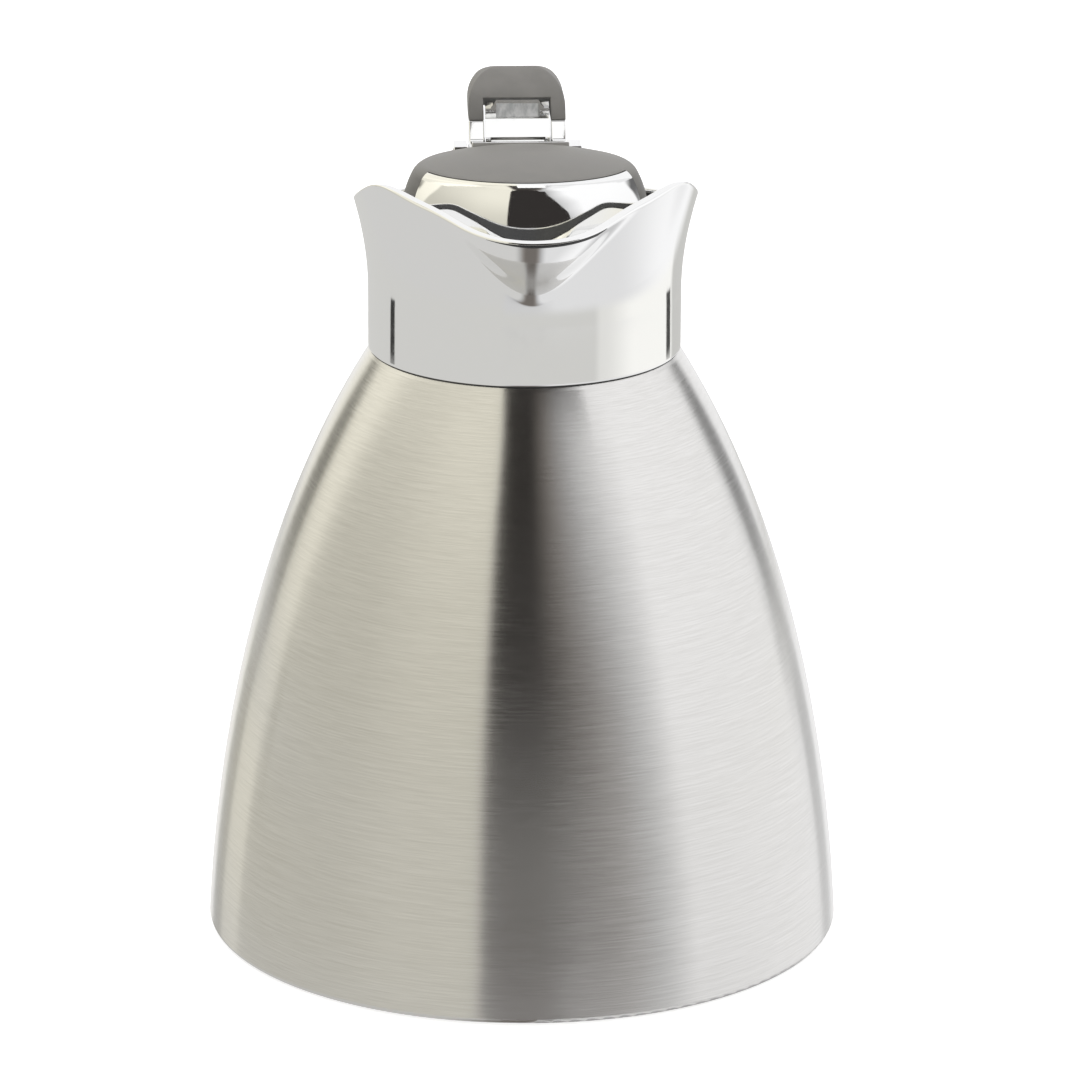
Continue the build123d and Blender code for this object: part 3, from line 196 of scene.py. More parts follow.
FLAG_BY_RISE = ((-20.0, 6.0), (0.3, 0.93))    # rise: how much they cover
FLAG_ABOVE = ((7.0, 14.0), (1.0, 0.2))
FLAG_FOOT = (-32.0, -24.0)                    # rise: below this there are none
FLAG_LEVEL = 0.08
WHITE_START = (151.0, 156.0)                  # far: white behind the flags
WHITE_LEVEL = 1.0
WARM_START = (-176.0, -140.0)                 # turn: from here to the gap the room is warm
WARM_SPARED = 0.8                             # share of that warmth which the table goes without
SHADE_LEVEL = (0.1, 0.5)                      # what is darker than this is browner
SHADE_TURN = (60.0, 90.0)                     # turn to either side: and only up to here
WHITE = (1.0, 1.0, 1.0, 1)
COOL = (1.0, 1.0, 1.01, 1)
WARM = (1.0, 0.968, 0.84, 1)
BROWN = (1.0, 0.9, 0.82, 1)
ROOM_GREY = (0.42, 0.42, 0.42, 1)             # the room's soft light

# --- table ring: distances from the carafe's axis, in metres
RING_START = (0.42, 0.51)
RING_END = (0.6, 0.71)
RING_Z = 0.001
RING_COUNT = 180
RING_BY_TURN = ((50.0, 57.0), (0.65, 0.78))   # turn
RING_BEHIND = ((56.0, 88.0), (0.0, 0.22))
RING_DIM = ((132.0, 138.0), (0.0, -0.4))
RING_COLOR = (1.0, 0.995, 0.965, 1)
TABLE_WARM = (1.0, 0.994, 0.968, 1)
LINES = ((-113.4, -107.8), (125.5, 132.5))    # turn: dark lines, which draw the collar's sides
LINE_SOFT = 0.6
LINE_DARK = 0.93
LINE_START = (0.54, 0.56)                     # distance
LINE_END = (0.66, 0.7)

# --- cards at the lid
LID_CARD_CENTRE = (6.0, -30.0, 295.0)
LID_CARD_HALF = (17.5, 20.0)
LID_CARD_DOWN = (0.0, -0.827, -0.561)       # direction in which the card falls off
LID_CARD_LEVEL = 1.1
LID_GAP_Y = -80.0
LID_GAP_OUTLINE = (                         # x and z of its corners
    (-23.5, 192.0), (58.0, 192.0), (52.5, 217.0), (43.0, 230.0), (25.0, 256.0), (12.0, 290.0), (-26.5, 290.0),
)
LID_GAP_COLOR = (1.0, 0.9, 0.86, 1)
LID_GAP_LEVEL = 0.035

# --- floor and lamps: places and sizes in metres, power in watts
FLOOR_SIZE = 12.0
FLOOR_COLOR = (0.92, 0.92, 0.92, 1)
FLOOR_GLOW = 0.6
LAMPS = {
    "key": {"place": (-0.4, 0.25, 1.25), "size": (0.9, 0.9), "power": 6.4},
    "fill": {"place": (0.5, 0.15, 1.2), "size": (0.9, 0.9), "power": 5.5},
    "front": {"place": (0.0, -1.0, 0.9), "size": (0.9, 0.6), "power": 1.3},
}
LAMP_AIM = (0.0, 0.0, 0.12)


# --- node helpers -----------------------------------------------------------
class Graph:
    """Adds nodes to one node tree. A value is a number, a colour or another node's output."""

    def __init__(self, tree):
        self.tree = tree
        self.count = 0

    def add(self, kind, **props):
        node = self.tree.nodes.new(kind)
        for name, value in props.items():
            setattr(node, name, value)
        self.count += 1
        node.location = (180 * (self.count % 12), -220 * (self.count // 12))
        return node

    def put(self, target, value):
        if isinstance(value, bpy.types.NodeSocket):
            self.tree.links.new(value, target)
        else:
            target.default_value = value

    def math(self, operation, *values):
        node = self.add("ShaderNodeMath", operation=operation)
        for target, value in zip(node.inputs, values):
            self.put(target, value)
        return node.outputs[0]

    def times(self, first, *others):
        for value in others:
            first = self.math("MULTIPLY", first, value)
        return first

    def plus(self, first, *others):
        for value in others:
            first = self.math("ADD", first, value)
        return first

    def minus(self, first, second):
        return self.math("SUBTRACT", first, second)

    def over(self, level, cover, amount):
        """level where amount is 0 and cover where it is 1."""
        return self.plus(self.times(level, self.minus(1.0, amount)), self.times(cover, amount))

    def ramp(self, value, span, levels=(0.0, 1.0), soft=True):
        """The first level below the span, the second above it, and in between a smooth or an even change."""
        node = self.add("ShaderNodeMapRange", interpolation_type="SMOOTHSTEP" if soft else "LINEAR")
        names = ("Value", "From Min", "From Max", "To Min", "To Max")
        for name, item in zip(names, (value, *span, *levels)):
            self.put(node.inputs[name], item)
        return node.outputs[0]

    def fade(self, value, span):
        """1 below the span and 0 above it."""
        return self.ramp(value, span, (1.0, 0.0))

    def mix(self, factor, a, b):
        node = self.add("ShaderNodeMix", data_type="RGBA")
        self.put(node.inputs[0], factor)
        self.put(node.inputs[6], a)
        self.put(node.inputs[7], b)
        return node.outputs[2]

    def noise(self, vector, scale=1.0, detail=2.0, roughness=0.5):
        node = self.add("ShaderNodeTexNoise")
        self.put(node.inputs["Vector"], vector)
        node.inputs["Scale"].default_value = scale
        node.inputs["Detail"].default_value = detail
        node.inputs["Roughness"].default_value = roughness
        return node.outputs[0]

    def combine(self, x, y, z):
        node = self.add("ShaderNodeCombineXYZ")
        for target, value in zip(node.inputs, (x, y, z)):
            self.put(target, value)
        return node.outputs[0]

    def split(self, vector):
        node = self.add("ShaderNodeSeparateXYZ")
        self.put(node.inputs[0], vector)
        return tuple(node.outputs)

    def stretched(self, vector, factors):
        """The vector with each of its three numbers multiplied."""
        return self.combine(*(self.times(part, factor) for part, factor in zip(self.split(vector), factors)))

    def point(self):
        """The point on the object, in metres."""
        return self.add("ShaderNodeTexCoord").outputs["Object"]

    def turn(self, x, y):
        """Angle round the axis: 0 towards the photograph's camera and positive to its right."""
        angle = self.math("ARCTAN2", x, self.times(y, -1.0))
        return self.plus(self.times(angle, math.degrees(1.0)), CAMERA_YAW)

    def bump(self, height, strength, distance):
        node = self.add("ShaderNodeBump")
        self.put(node.inputs["Height"], height)
        node.inputs["Strength"].default_value = strength
        node.inputs["Distance"].default_value = distance
        return node.outputs[0]


def empty_material(name):
    """A material without nodes, and the graph that fills it."""
    material = bpy.data.materials.new(name)
    material.use_nodes = True
    material.node_tree.nodes.clear()
    return material, Graph(material.node_tree)


def new_material(name, color, rough, metal=0.0):
    """A material with its graph and its shader, and the plain values set on the shader."""
    material, graph = empty_material(name)
    shader = graph.add("ShaderNodeBsdfPrincipled")
    output = graph.add("ShaderNodeOutputMaterial")
    graph.put(output.inputs[0], shader.outputs[0])
    shader.inputs["Base Color"].default_value = (*color, 1)
    shader.inputs["Roughness"].default_value = rough
    shader.inputs["Metallic"].default_value = metal
    return material, graph, shader


# --- materials --------------------------------------------------------------
NOISE_SPAN = (0.3, 0.7)   # a noise texture's values lie mostly in this span


def scaled(color, factor, extra=0.0):
    """The colour made lighter or darker, with its alpha."""
    return (*(min(1.0, factor * c + extra) for c in color), 1)


def brushed_steel():
    """Satin steel, brushed round the body: short level scratches that spread the light up and down."""
    material, g, shader = new_material("brushed_steel", (0.8, 0.79, 0.77), 0.3, 1.0)
    x, y, z = g.split(g.point())
    angle = g.math("ARCTAN2", x, y)
    across, along = g.math("SINE", angle), g.math("COSINE", angle)

    def streaks(stretch, height):
        vector = g.combine(g.times(across, stretch), g.times(along, stretch), g.times(z, height))
        return g.noise(vector, roughness=0.6)

    fine = streaks(stretch=9.0, height=9000.0)
    long = streaks(stretch=3.0, height=2600.0)
    cloud = streaks(stretch=1.5, height=30.0)
    grain = g.plus(g.times(fine, 0.6), g.times(long, 0.4))
    dark, light = (0.7, 0.69, 0.67, 1), (0.805, 0.797, 0.78, 1)
    g.put(shader.inputs["Base Color"], g.mix(g.ramp(grain, NOISE_SPAN), dark, light))
    sheen = g.plus(g.times(grain, 0.7), g.times(cloud, 0.3))
    g.put(shader.inputs["Roughness"], g.ramp(sheen, NOISE_SPAN, levels=(0.19, 0.25)))
    shader.inputs["Anisotropic"].default_value = 0.92
    shader.inputs["Anisotropic Rotation"].default_value = 0.25
    tangent = g.add("ShaderNodeTangent", direction_type="RADIAL", axis="Z")
    g.put(shader.inputs["Tangent"], tangent.outputs[0])
    g.put(shader.inputs["Normal"], g.bump(grain, strength=0.06, distance=0.00005))
    return material


def chrome():
    """Polished plate: a faint waviness and a trace of wiping marks keep it from looking like glass."""
    rough, wiped = 0.045, 0.09
    material, g, shader = new_material("chrome", (0.925, 0.925, 0.92), rough, 1.0)
    point = g.point()
    wave = g.noise(point, scale=45.0, detail=1.0)
    smear = g.noise(point, scale=420.0, detail=3.0, roughness=0.6)
    g.put(shader.inputs["Roughness"], g.ramp(smear, span=(0.35, 0.75), levels=(rough, wiped)))
    g.put(shader.inputs["Normal"], g.bump(wave, strength=0.25, distance=0.0002))
    return material


def soft_touch(name, color, rough=0.5):
    """Soft-touch plastic: a fine even grain and slightly mottled sheen."""
    material, g, shader = new_material(name, color, rough)
    point = g.point()
    grain = g.noise(point, scale=5200.0, roughness=0.6)
    patch = g.noise(point, scale=160.0, detail=3.0)
    tone = g.mix(g.ramp(patch, NOISE_SPAN), scaled(color, 0.93), scaled(color, 1.07))
    g.put(shader.inputs["Base Color"], tone)
    levels = (rough - 0.04, rough + 0.06)
    g.put(shader.inputs["Roughness"], g.ramp(patch, span=(0.25, 0.75), levels=levels))
    g.put(shader.inputs["Normal"], g.bump(grain, strength=0.12, distance=0.00008))
    return material


def turned_metal(name, color, rough):
    """Plain metal with fine marks from drawing or turning."""
    material, g, shader = new_material(name, color, rough, 1.0)
    marks = g.noise(g.stretched(g.point(), (300.0, 300.0, 5200.0)))
    tone = g.mix(g.ramp(marks, NOISE_SPAN), scaled(color, 0.9), (*color, 1))
    g.put(shader.inputs["Base Color"], tone)
    g.put(shader.inputs["Roughness"], g.ramp(marks, NOISE_SPAN, levels=(rough - 0.05, rough + 0.06)))
    g.put(shader.inputs["Normal"], g.bump(marks, strength=0.1, distance=0.00005))
    return material


def moulded(name, color, rough, bump=0.15):
    """Moulded plastic, rubber or foam with a fine grain."""
    material, g, shader = new_material(name, color, rough)
    grain = g.noise(g.point(), scale=3500.0, roughness=0.6)
    tone = g.mix(g.ramp(grain, span=(0.35, 0.7)), (*color, 1), scaled(color, 1.25, 0.004))
    g.put(shader.inputs["Base Color"], tone)
    g.put(shader.inputs["Roughness"], g.ramp(grain, NOISE_SPAN, levels=(rough - 0.05, rough + 0.08)))
    g.put(shader.inputs["Normal"], g.bump(grain, strength=bump, distance=0.0001))
    return material


def mottled(name, dark, light):
    """Pale plate behind a window, with cloudy upright streaks."""
    material, g, shader = new_material(name, light, 0.3)
    cloud = g.noise(g.stretched(g.point(), (420.0, 0.0, 260.0)), detail=3.0, roughness=0.6)
    tone = g.mix(g.ramp(cloud, span=(0.38, 0.62)), (*dark, 1), (*light, 1))
    g.put(shader.inputs["Base Color"], tone)
    g.put(shader.inputs["Roughness"], g.ramp(cloud, NOISE_SPAN, levels=(0.25, 0.4)))
    return material


MATERIALS = {
    "brushed_steel": brushed_steel(),
    "steel": turned_metal("plain_steel", (0.66, 0.65, 0.63), 0.3),
    "solder": turned_metal("solder", (0.55, 0.55, 0.56), 0.45),
    "foil": turned_metal("foil", (0.88, 0.88, 0.89), 0.2),
    "getter": turned_metal("getter", (0.2, 0.2, 0.21), 0.6),
    "black_rubber": moulded("black_rubber", (0.028, 0.028, 0.028), 0.65, 0.25),
    "black_plastic": moulded("black_plastic", (0.03, 0.03, 0.031), 0.38),
    "silicone": moulded("silicone", (0.72, 0.71, 0.68), 0.55),
    "chrome": chrome(),
    "screw_steel": turned_metal("screw_steel", (0.58, 0.57, 0.55), 0.28),
    "soft_grey": soft_touch("soft_grey", (0.19, 0.183, 0.171)),
    "window_plate": mottled("window_plate", (0.72, 0.73, 0.73), (1.0, 1.0, 1.0)),
    "foam": moulded("foam", (0.9, 0.88, 0.8), 0.9, 0.4),
}


def dress_nodes():
    """Every CAD node gets the material of its slot."""
    slots = {row["node"]: row["material_slot"] for row in frame["record"]["subparts"]}
    for name, node in frame["nodes"].items():
        node.data.materials.clear()
        node.data.materials.append(MATERIALS[slots[name]])


# --- small parts: rounded edges ------------------------------------------------
def soften(name, width):
    """Rounds a node's edges by this width."""
    node = frame["nodes"][name]
    weld = node.modifiers.new("weld", "WELD")
    weld.merge_threshold = WELD_DISTANCE
    bevel = node.modifiers.new("bevel", "BEVEL")
    bevel.width = MM * width
    bevel.segments = SOFT_SEGMENTS
    bevel.limit_method = "ANGLE"
    bevel.angle_limit = math.radians(SOFT_ANGLE)
    normals = node.modifiers.new("normals", "WEIGHTED_NORMAL")
    normals.weight = NORMAL_WEIGHT


# --- collar: the lines and distances that give its shape -----------------------
def spline_through(points, start, end):
    """A smooth line through the points, with the directions given at both ends, as many samples."""
    points = np.array(points, float)
    steps = np.linalg.norm(np.diff(points, axis=0), axis=1)
    count = len(points)
    matrix, right = np.eye(count), np.zeros_like(points)
    right[0] = np.array(start) / np.linalg.norm(start)
    right[-1] = np.array(end) / np.linalg.norm(end)
    for i in range(1, count - 1):
        before, after = steps[i - 1], steps[i]
        matrix[i, i - 1 : i + 2] = 1 / before, 2 * (1 / before + 1 / after), 1 / after
        slope_before = (points[i] - points[i - 1]) / before**2
        slope_after = (points[i + 1] - points[i]) / after**2
        right[i] = 3 * (slope_before + slope_after)
    speeds = np.linalg.solve(matrix, right)
    t = np.linspace(0, 1, LINE_SAMPLES)[:, None]
    samples = []
    for i, step in enumerate(steps):
        samples.append(
            (2 * t**3 - 3 * t**2 + 1) * points[i]
            + (t**3 - 2 * t**2 + t) * step * speeds[i]
            + (3 * t**2 - 2 * t**3) * points[i + 1]
            + (t**3 - t**2) * step * speeds[i + 1]
        )
    return np.concatenate(samples)


def rim_line():
    """The rim seen from the side: heights over Y."""
    back_y = COLLAR_R + FLARE_OUT
    back_slope = (SIDE_Z - BACK_Z) / back_y
    tip_slope = (PEAK_Z - PEAK_DROP_FRONT - TIP_Z) / (PEAK_Y - PEAK_HALF - TIP_Y) / 2
    points = [
        (back_y, BACK_Z),
        (0, SIDE_Z),
        (PEAK_Y + PEAK_HALF, PEAK_Z - PEAK_DROP_BACK),
        (PEAK_Y, PEAK_Z),
        (PEAK_Y - PEAK_HALF, PEAK_Z - PEAK_DROP_FRONT),
        (TIP_Y, TIP_Z),
        (TIP_Y - TRIM_OVER, TIP_Z - TRIM_OVER * tip_slope),
    ]
    line = spline_through(points, (-1, back_slope), (-1, -tip_slope))
    return line[np.argsort(line[:, 0])]


def flare_line():
    """How far the collar's side runs out, over its height."""
    lean = math.radians(FLARE_LEAN)
    corners = np.array([
        (0, FLARE_Z),
        (0, FLARE_Z + FLARE_PULL),
        (FLARE_OUT - FLARE_PULL * math.sin(lean), TRIM_Z - FLARE_PULL * math.cos(lean)),
        (FLARE_OUT, TRIM_Z),
    ])
    t = np.linspace(0, 1, FLARE_SAMPLES)[:, None]
    weights = ((1 - t) ** 3, 3 * t * (1 - t) ** 2, 3 * t**2 * (1 - t), t**3)
    return sum(w * c for w, c in zip(weights, corners))


RIM = rim_line()
FLARE = flare_line()


def keel(z):
    """Y of the beak's front line at a height."""
    rise = 1 - (1 - (z - KEEL_Z) / (TRIM_Z - KEEL_Z)) ** 2
    tip = 1 - (1 - (TIP_Z - KEEL_Z) / (TRIM_Z - KEEL_Z)) ** 2
    return KEEL_START + (TIP_Y - KEEL_START) * rise / tip


def collar_radius(turn, z, wall, beak_wall):
    """Distance from the axis to the collar's side, moved inwards by the two walls."""
    side = COLLAR_R - wall + np.interp(z, FLARE[:, 1], FLARE[:, 0])
    keel_round = KEEL_ROUND * np.exp(-np.maximum(z - KEEL_Z, 0) / KEEL_FADE)
    radius = BEAK_R + BEAK_SLOPE * (z - TIP_Z) + keel_round
    centre = keel(np.maximum(z, KEEL_Z)) + radius
    radius = np.maximum(radius - beak_wall, 0)
    along = -np.cos(turn) * centre
    inside = along**2 - centre**2 + radius**2
    beak = np.where(inside > 0, along + np.sqrt(np.maximum(inside, 0)), 0)
    beak = np.where(z > KEEL_Z, beak, 0)
    near = np.maximum(CREASE - np.abs(side - beak), 0)
    return np.maximum(side, beak) + near**2 / (4 * CREASE)


def rim_height(turn, wall, beak_wall):
    """Height at which the collar's side meets the rim's line."""
    low = np.full_like(turn, FLARE_Z)
    high = np.full_like(turn, TRIM_Z + SEARCH_OVER)
    for _ in range(HALVINGS):
        middle = (low + high) / 2
        y = -np.cos(turn) * collar_radius(turn, middle, wall, beak_wall)
        below = middle < np.interp(y, RIM[:, 0], RIM[:, 1])
        low = np.where(below, middle, low)
        high = np.where(below, high, middle)
    return (low + high) / 2


# --- pieces of the script's own -----------------------------------------------
def mesh_object(name, points, faces, body, slot, smooth=True):
    """A mesh from points in millimetres, riding on a body."""
    mesh = bpy.data.meshes.new(name)
    mesh.from_pydata([tuple(MM * c for c in p) for p in points], [], faces)
    mesh.validate()
    mesh.polygons.foreach_set("use_smooth", [smooth] * len(mesh.polygons))
    piece = bpy.data.objects.new(name, mesh)
    bpy.context.scene.collection.objects.link(piece)
    mesh.materials.append(MATERIALS[slot])
    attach(piece, body)
    return piece


def ring_faces(count, total, closed=True):
    """Quads between rings that follow each other, all with the same number of points."""
    faces = []
    for i in range(total if closed else total - 1):
        a, b = i * count, (i + 1) % total * count
        for k in range(count):
            n = (k + 1) % count
            faces.append((a + k, a + n, b + n, b + k))
    return faces


def round_axis(turn, radius, z):
    """Points round the carafe's axis, with the turn counted from the beak."""
    return np.stack([np.sin(turn) * radius, -np.cos(turn) * radius, z], axis=1)


def collar_turns():
    """The columns of the collar's mesh: close at the beak and wider apart behind."""
    front = np.arange(-FRONT_HALF, FRONT_HALF, FRONT_STEP)
    back = np.arange(FRONT_HALF, 360.0 - FRONT_HALF, BACK_STEP)
    return np.radians(np.concatenate([front, back]))


def collar_skin():
    """The collar as one closed skin: up outside, over the rounded rim and down inside to its foot again."""
    turn = collar_turns()
    outer_z = rim_height(turn, 0, 0)
    inner_z = rim_height(turn, COLLAR_WALL, BEAK_WALL)
    outer_end, inner_start = outer_z - BEAD, inner_z - BEAD
    level = np.ones_like(turn)
    foot = BODY_H + SEAM_GAP
    rings = [round_axis(turn, (COLLAR_R - far_in) * level, (foot + up) * level) for far_in, up in FOOT_STEPS]
    for i in range(OUTER_ROWS + 1):
        z = foot + FOOT_ROUND + (outer_end - foot - FOOT_ROUND) * i / OUTER_ROWS
        rings.append(round_axis(turn, collar_radius(turn, z, 0, 0), z))
    outer_r = collar_radius(turn, outer_end, 0, 0)
    inner_r = collar_radius(turn, inner_start, COLLAR_WALL, BEAK_WALL)
    top_r = (collar_radius(turn, outer_z, 0, 0) + collar_radius(turn, inner_z, COLLAR_WALL, BEAK_WALL)) / 2
    top_z = (outer_z + inner_z) / 2
    middle_r, middle_z = (outer_r + inner_r) / 2, top_z - BEAD
    for i in range(1, RIM_ROWS):
        angle = math.pi * i / RIM_ROWS
        across = math.copysign(abs(math.cos(angle)) ** RIM_SQUARE, math.cos(angle))
        up = math.sin(angle) ** RIM_SQUARE
        r = middle_r + (outer_r - middle_r) * across + (top_r - middle_r) * up
        z = middle_z + (outer_end - middle_z) * across + (top_z - middle_z) * up
        rings.append(round_axis(turn, r, z))
    for i in range(INNER_ROWS + 1):
        z = inner_start + (COLLAR_Z - inner_start) * i / INNER_ROWS
        rings.append(round_axis(turn, collar_radius(turn, z, COLLAR_WALL, BEAK_WALL), z))
    faces = ring_faces(len(turn), len(rings))
    skin = mesh_object("collar_skin", np.concatenate(rings), faces, "carafe", "chrome")
    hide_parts("collar")


def collar_dark_band():
    """Dark band inside the collar, under its rim."""
    turn = collar_turns()
    high = rim_height(turn, COLLAR_WALL, BEAK_WALL) - DARK_BAND_DROP
    from_beak = np.degrees((turn + math.pi) % (2 * math.pi) - math.pi)
    low = high - DARK_BAND_H - DARK_BAND_MORE * np.exp(-((from_beak / DARK_BAND_SPREAD) ** 2))
    rings = []
    for start, end, gap in ((high, low, DARK_BAND_GAP), (low, high, DARK_BAND_T)):
        for i in range(DARK_BAND_ROWS + 1):
            z = start + (end - start) * i / DARK_BAND_ROWS
            rings.append(round_axis(turn, collar_radius(turn, z, COLLAR_WALL, BEAK_WALL) - gap, z))
    faces = ring_faces(len(turn), len(rings))
    mesh_object("collar_dark_band", np.concatenate(rings), faces, "carafe", "black_plastic")


def beak_painted_shade():
    """Thin dark line of painted shade under the rolled bead at the beak, which thins out towards its ends."""
    degrees = np.arange(SHADE_LINE_LEFT, SHADE_LINE_RIGHT, SHADE_LINE_STEP)
    turn = np.radians(degrees)
    from_left = np.clip((degrees - SHADE_LINE_LEFT) / TAPER_LEFT, TAPER_END, 1)
    from_right = np.clip((SHADE_LINE_RIGHT - degrees) / TAPER_RIGHT, TAPER_END, 1)
    high = rim_height(turn, 0, 0) - SHADE_LINE_DROP
    low = high - SHADE_LINE_H * from_left * from_right
    corners = []
    for z, depth in ((low, -SHADE_LINE_PROUD), (high, -SHADE_LINE_PROUD), (high, SHADE_LINE_T), (low, SHADE_LINE_T)):
        corners.append(round_axis(turn, collar_radius(turn, z, 0, 0) - depth, z))
    count = len(corners)
    points = np.stack(corners, axis=1).reshape(-1, 3)
    last = len(points) - count
    first_end = tuple(range(count))
    last_end = tuple(last + k for k in reversed(range(count)))
    faces = [*ring_faces(count, len(turn), closed=False), first_end, last_end]
    # a black strip that paints in the shade under the bead
    mesh_object("beak_painted_shade", points, faces, "carafe", "black_plastic")


def cap_backing():
    """Bright facets beside the cap's stepped top, inside the arc that the pad swings over."""
    outline = [
        (-FACET_IN, FACET_FRONT),
        (FACET_IN, FACET_FRONT),
        (FACET_OUT, FACET_SLANT),
        (FACET_OUT, FACET_BACK),
        (-FACET_OUT, FACET_BACK),
        (-FACET_OUT, FACET_SLANT),
    ]
    points = [(x, y, z) for z in (FACET_LOW, FACET_HIGH) for x, y in outline]
    count = len(outline)
    bottom = tuple(reversed(range(count)))
    top = tuple(range(count, 2 * count))
    faces = [*ring_faces(count, 2, closed=False), bottom, top]
    mesh_object("cap_backing", points, faces, "carafe", "chrome", smooth=False)


# --- studio: the room that reflections show -------------------------------------
def table_level(g, turn):
    """The table, brighter to the right and brighter still behind."""
    return g.plus(g.ramp(turn, *TABLE_BY_TURN), g.ramp(turn, *TABLE_BEHIND))


def left_wall(g, turn, rise, far):
    """Wall on the left, with a brighter strip at its far end."""
    wall = g.plus(g.ramp(rise, *LEFT_BY_RISE), g.ramp(turn, *LEFT_BY_TURN), g.ramp(rise, *LEFT_FOOT))
    return g.plus(wall, g.times(g.ramp(far, LEFT_END), g.ramp(rise, *LEFT_END_BY_RISE)))


def right_wall(g, turn, rise):
    """Dark gap in front, which climbs to the bright wall on the right: slowly low down, evenly higher up."""
    gap = g.plus(g.ramp(rise, *GAP_LOW), g.ramp(rise, *GAP_HIGH))
    wall_turn = g.plus(g.ramp(rise, *RIGHT_TURN_LOW), g.ramp(rise, *RIGHT_TURN_HIGH))
    share = g.math("DIVIDE", g.minus(turn, GAP_TURN), g.minus(wall_turn, GAP_TURN))
    share = g.ramp(share, (0.0, 1.0), soft=False)
    climb = g.math("POWER", share, g.ramp(rise, *CLIMB_POWER, soft=False))
    return g.over(gap, g.ramp(rise, *RIGHT_BY_RISE), climb)


def add_ceiling(g, level, x, y, rise):
    """Bright ceiling with a dark beam over the front."""
    beam = g.times(g.ramp(x, BEAM_LEFT), g.fade(x, BEAM_RIGHT), g.fade(y, BEAM_BACK))
    high = g.ramp(rise, CEILING_EDGE)
    level = g.over(level, CEILING_LEVEL, g.times(high, g.minus(1.0, beam)))
    return g.over(level, BEAM_LEVEL, g.times(high, beam))


def add_table(g, level, turn, rise, on_table):
    """Table, dimmer behind on the right."""
    dim = g.times(g.fade(rise, DIM_RISE), g.ramp(turn, DIM_TURN))
    table = g.minus(table_level(g, turn), g.times(dim, DIM))
    return g.over(level, table, on_table)


def add_strip(g, level, x, y, rise):
    """Dark strip on the table in front of the carafe."""
    strip = g.times(g.ramp(x, STRIP_LEFT), g.fade(x, STRIP_RIGHT))
    strip = g.times(strip, g.times(g.fade(rise, STRIP_RISE), g.fade(y, STRIP_BACK)))
    return g.over(level, STRIP_LEVEL, strip)


def add_flags(g, level, rise, far):
    """Dark strips behind on both sides, which draw the carafe's edges, and white behind them."""
    strength = g.times(g.ramp(rise, *FLAG_BY_RISE), g.ramp(rise, *FLAG_ABOVE))
    flag = g.times(g.ramp(far, FLAG_START), g.fade(far, FLAG_END), strength, g.ramp(rise, FLAG_FOOT))
    level = g.over(level, FLAG_LEVEL, flag)
    return g.over(level, WHITE_LEVEL, g.ramp(far, WHITE_START))


def room_tint(g, level, turn, on_right, on_table):
    """Warm on the left, brown where it is dark in front, and neutral elsewhere."""
    warm = g.times(g.minus(1.0, on_right), g.ramp(turn, WARM_START))
    warm = g.times(warm, g.minus(1.0, g.times(on_table, WARM_SPARED)))
    tint = g.mix(warm, COOL, WARM)
    shade = g.times(g.fade(level, SHADE_LEVEL), g.fade(g.math("ABSOLUTE", turn), SHADE_TURN))
    return g.mix(shade, tint, BROWN)


def mirrored_room(g):
    """What reflections show. The directions are fixed to the world and don't follow the camera."""
    x, y, z = g.split(g.add("ShaderNodeTexCoord").outputs["Generated"])
    turn = g.turn(x, y)
    rise = g.times(g.math("ARCSINE", z), math.degrees(1.0))
    far = g.plus(g.math("ABSOLUTE", turn), g.times(g.plus(rise, FAR_RISE), FAR_SHARE))
    on_right = g.ramp(turn, GAP_EDGE)
    on_table = g.fade(rise, TABLE_EDGE)
    level = g.over(left_wall(g, turn, rise, far), right_wall(g, turn, rise), on_right)
    level = add_ceiling(g, level, x, y, rise)
    level = add_table(g, level, turn, rise, on_table)
    level = add_strip(g, level, x, y, rise)
    level = add_flags(g, level, rise, far)
    seen = g.add("ShaderNodeVectorMath", operation="SCALE")
    g.put(seen.inputs[0], room_tint(g, level, turn, on_right, on_table))
    g.put(seen.inputs["Scale"], level)
    return seen.outputs[0]


def studio_world():
    """White to the camera, a plain grey room for soft light, and the mirrored room for reflections."""
    world = bpy.data.worlds.new("studio")
    bpy.context.scene.world = world
    world.use_nodes = True
    world.node_tree.nodes.clear()
    g = Graph(world.node_tree)
    path = g.add("ShaderNodeLightPath")
    room = g.add("ShaderNodeBackground")
    g.put(room.inputs["Color"], g.mix(path.outputs["Is Glossy Ray"], ROOM_GREY, mirrored_room(g)))
    white = g.add("ShaderNodeBackground")
    white.inputs["Color"].default_value = WHITE
    straight = g.math("MAXIMUM", path.outputs["Is Camera Ray"], path.outputs["Is Transmission Ray"])
    blend = g.add("ShaderNodeMixShader")
    g.put(blend.inputs[0], straight)
    g.put(blend.inputs[1], room.outputs[0])
    g.put(blend.inputs[2], white.outputs[0])
    output = g.add("ShaderNodeOutputWorld")
    g.put(output.inputs[0], blend.outputs[0])


# --- studio: cards, floor, lamps and camera ------------------------------------
def glowing_card(name, points, faces, paint):
    """A card that only reflections show. paint sets its level, and its colour where it isn't white."""
    mesh = bpy.data.meshes.new(name)
    mesh.from_pydata(points, [], faces)
    card = bpy.data.objects.new(name, mesh)
    bpy.context.scene.collection.objects.link(card)
    material, g = empty_material(name)
    glow = g.add("ShaderNodeEmission")
    paint(g, glow)
    output = g.add("ShaderNodeOutputMaterial")
    g.put(output.inputs[0], glow.outputs[0])
    mesh.materials.append(material)
    card.visible_camera = card.visible_diffuse = False
    card.visible_shadow = card.visible_transmission = False


def dark_lines(g, level, turn, distance):
    """The level with the dark lines drawn over it."""
    shown = g.times(g.ramp(distance, LINE_START), g.fade(distance, LINE_END))
    for low, high in LINES:
        start = g.ramp(turn, (low - LINE_SOFT, low + LINE_SOFT))
        end = g.fade(turn, (high - LINE_SOFT, high + LINE_SOFT))
        level = g.times(level, g.minus(1.0, g.times(start, end, shown, LINE_DARK)))
    return level


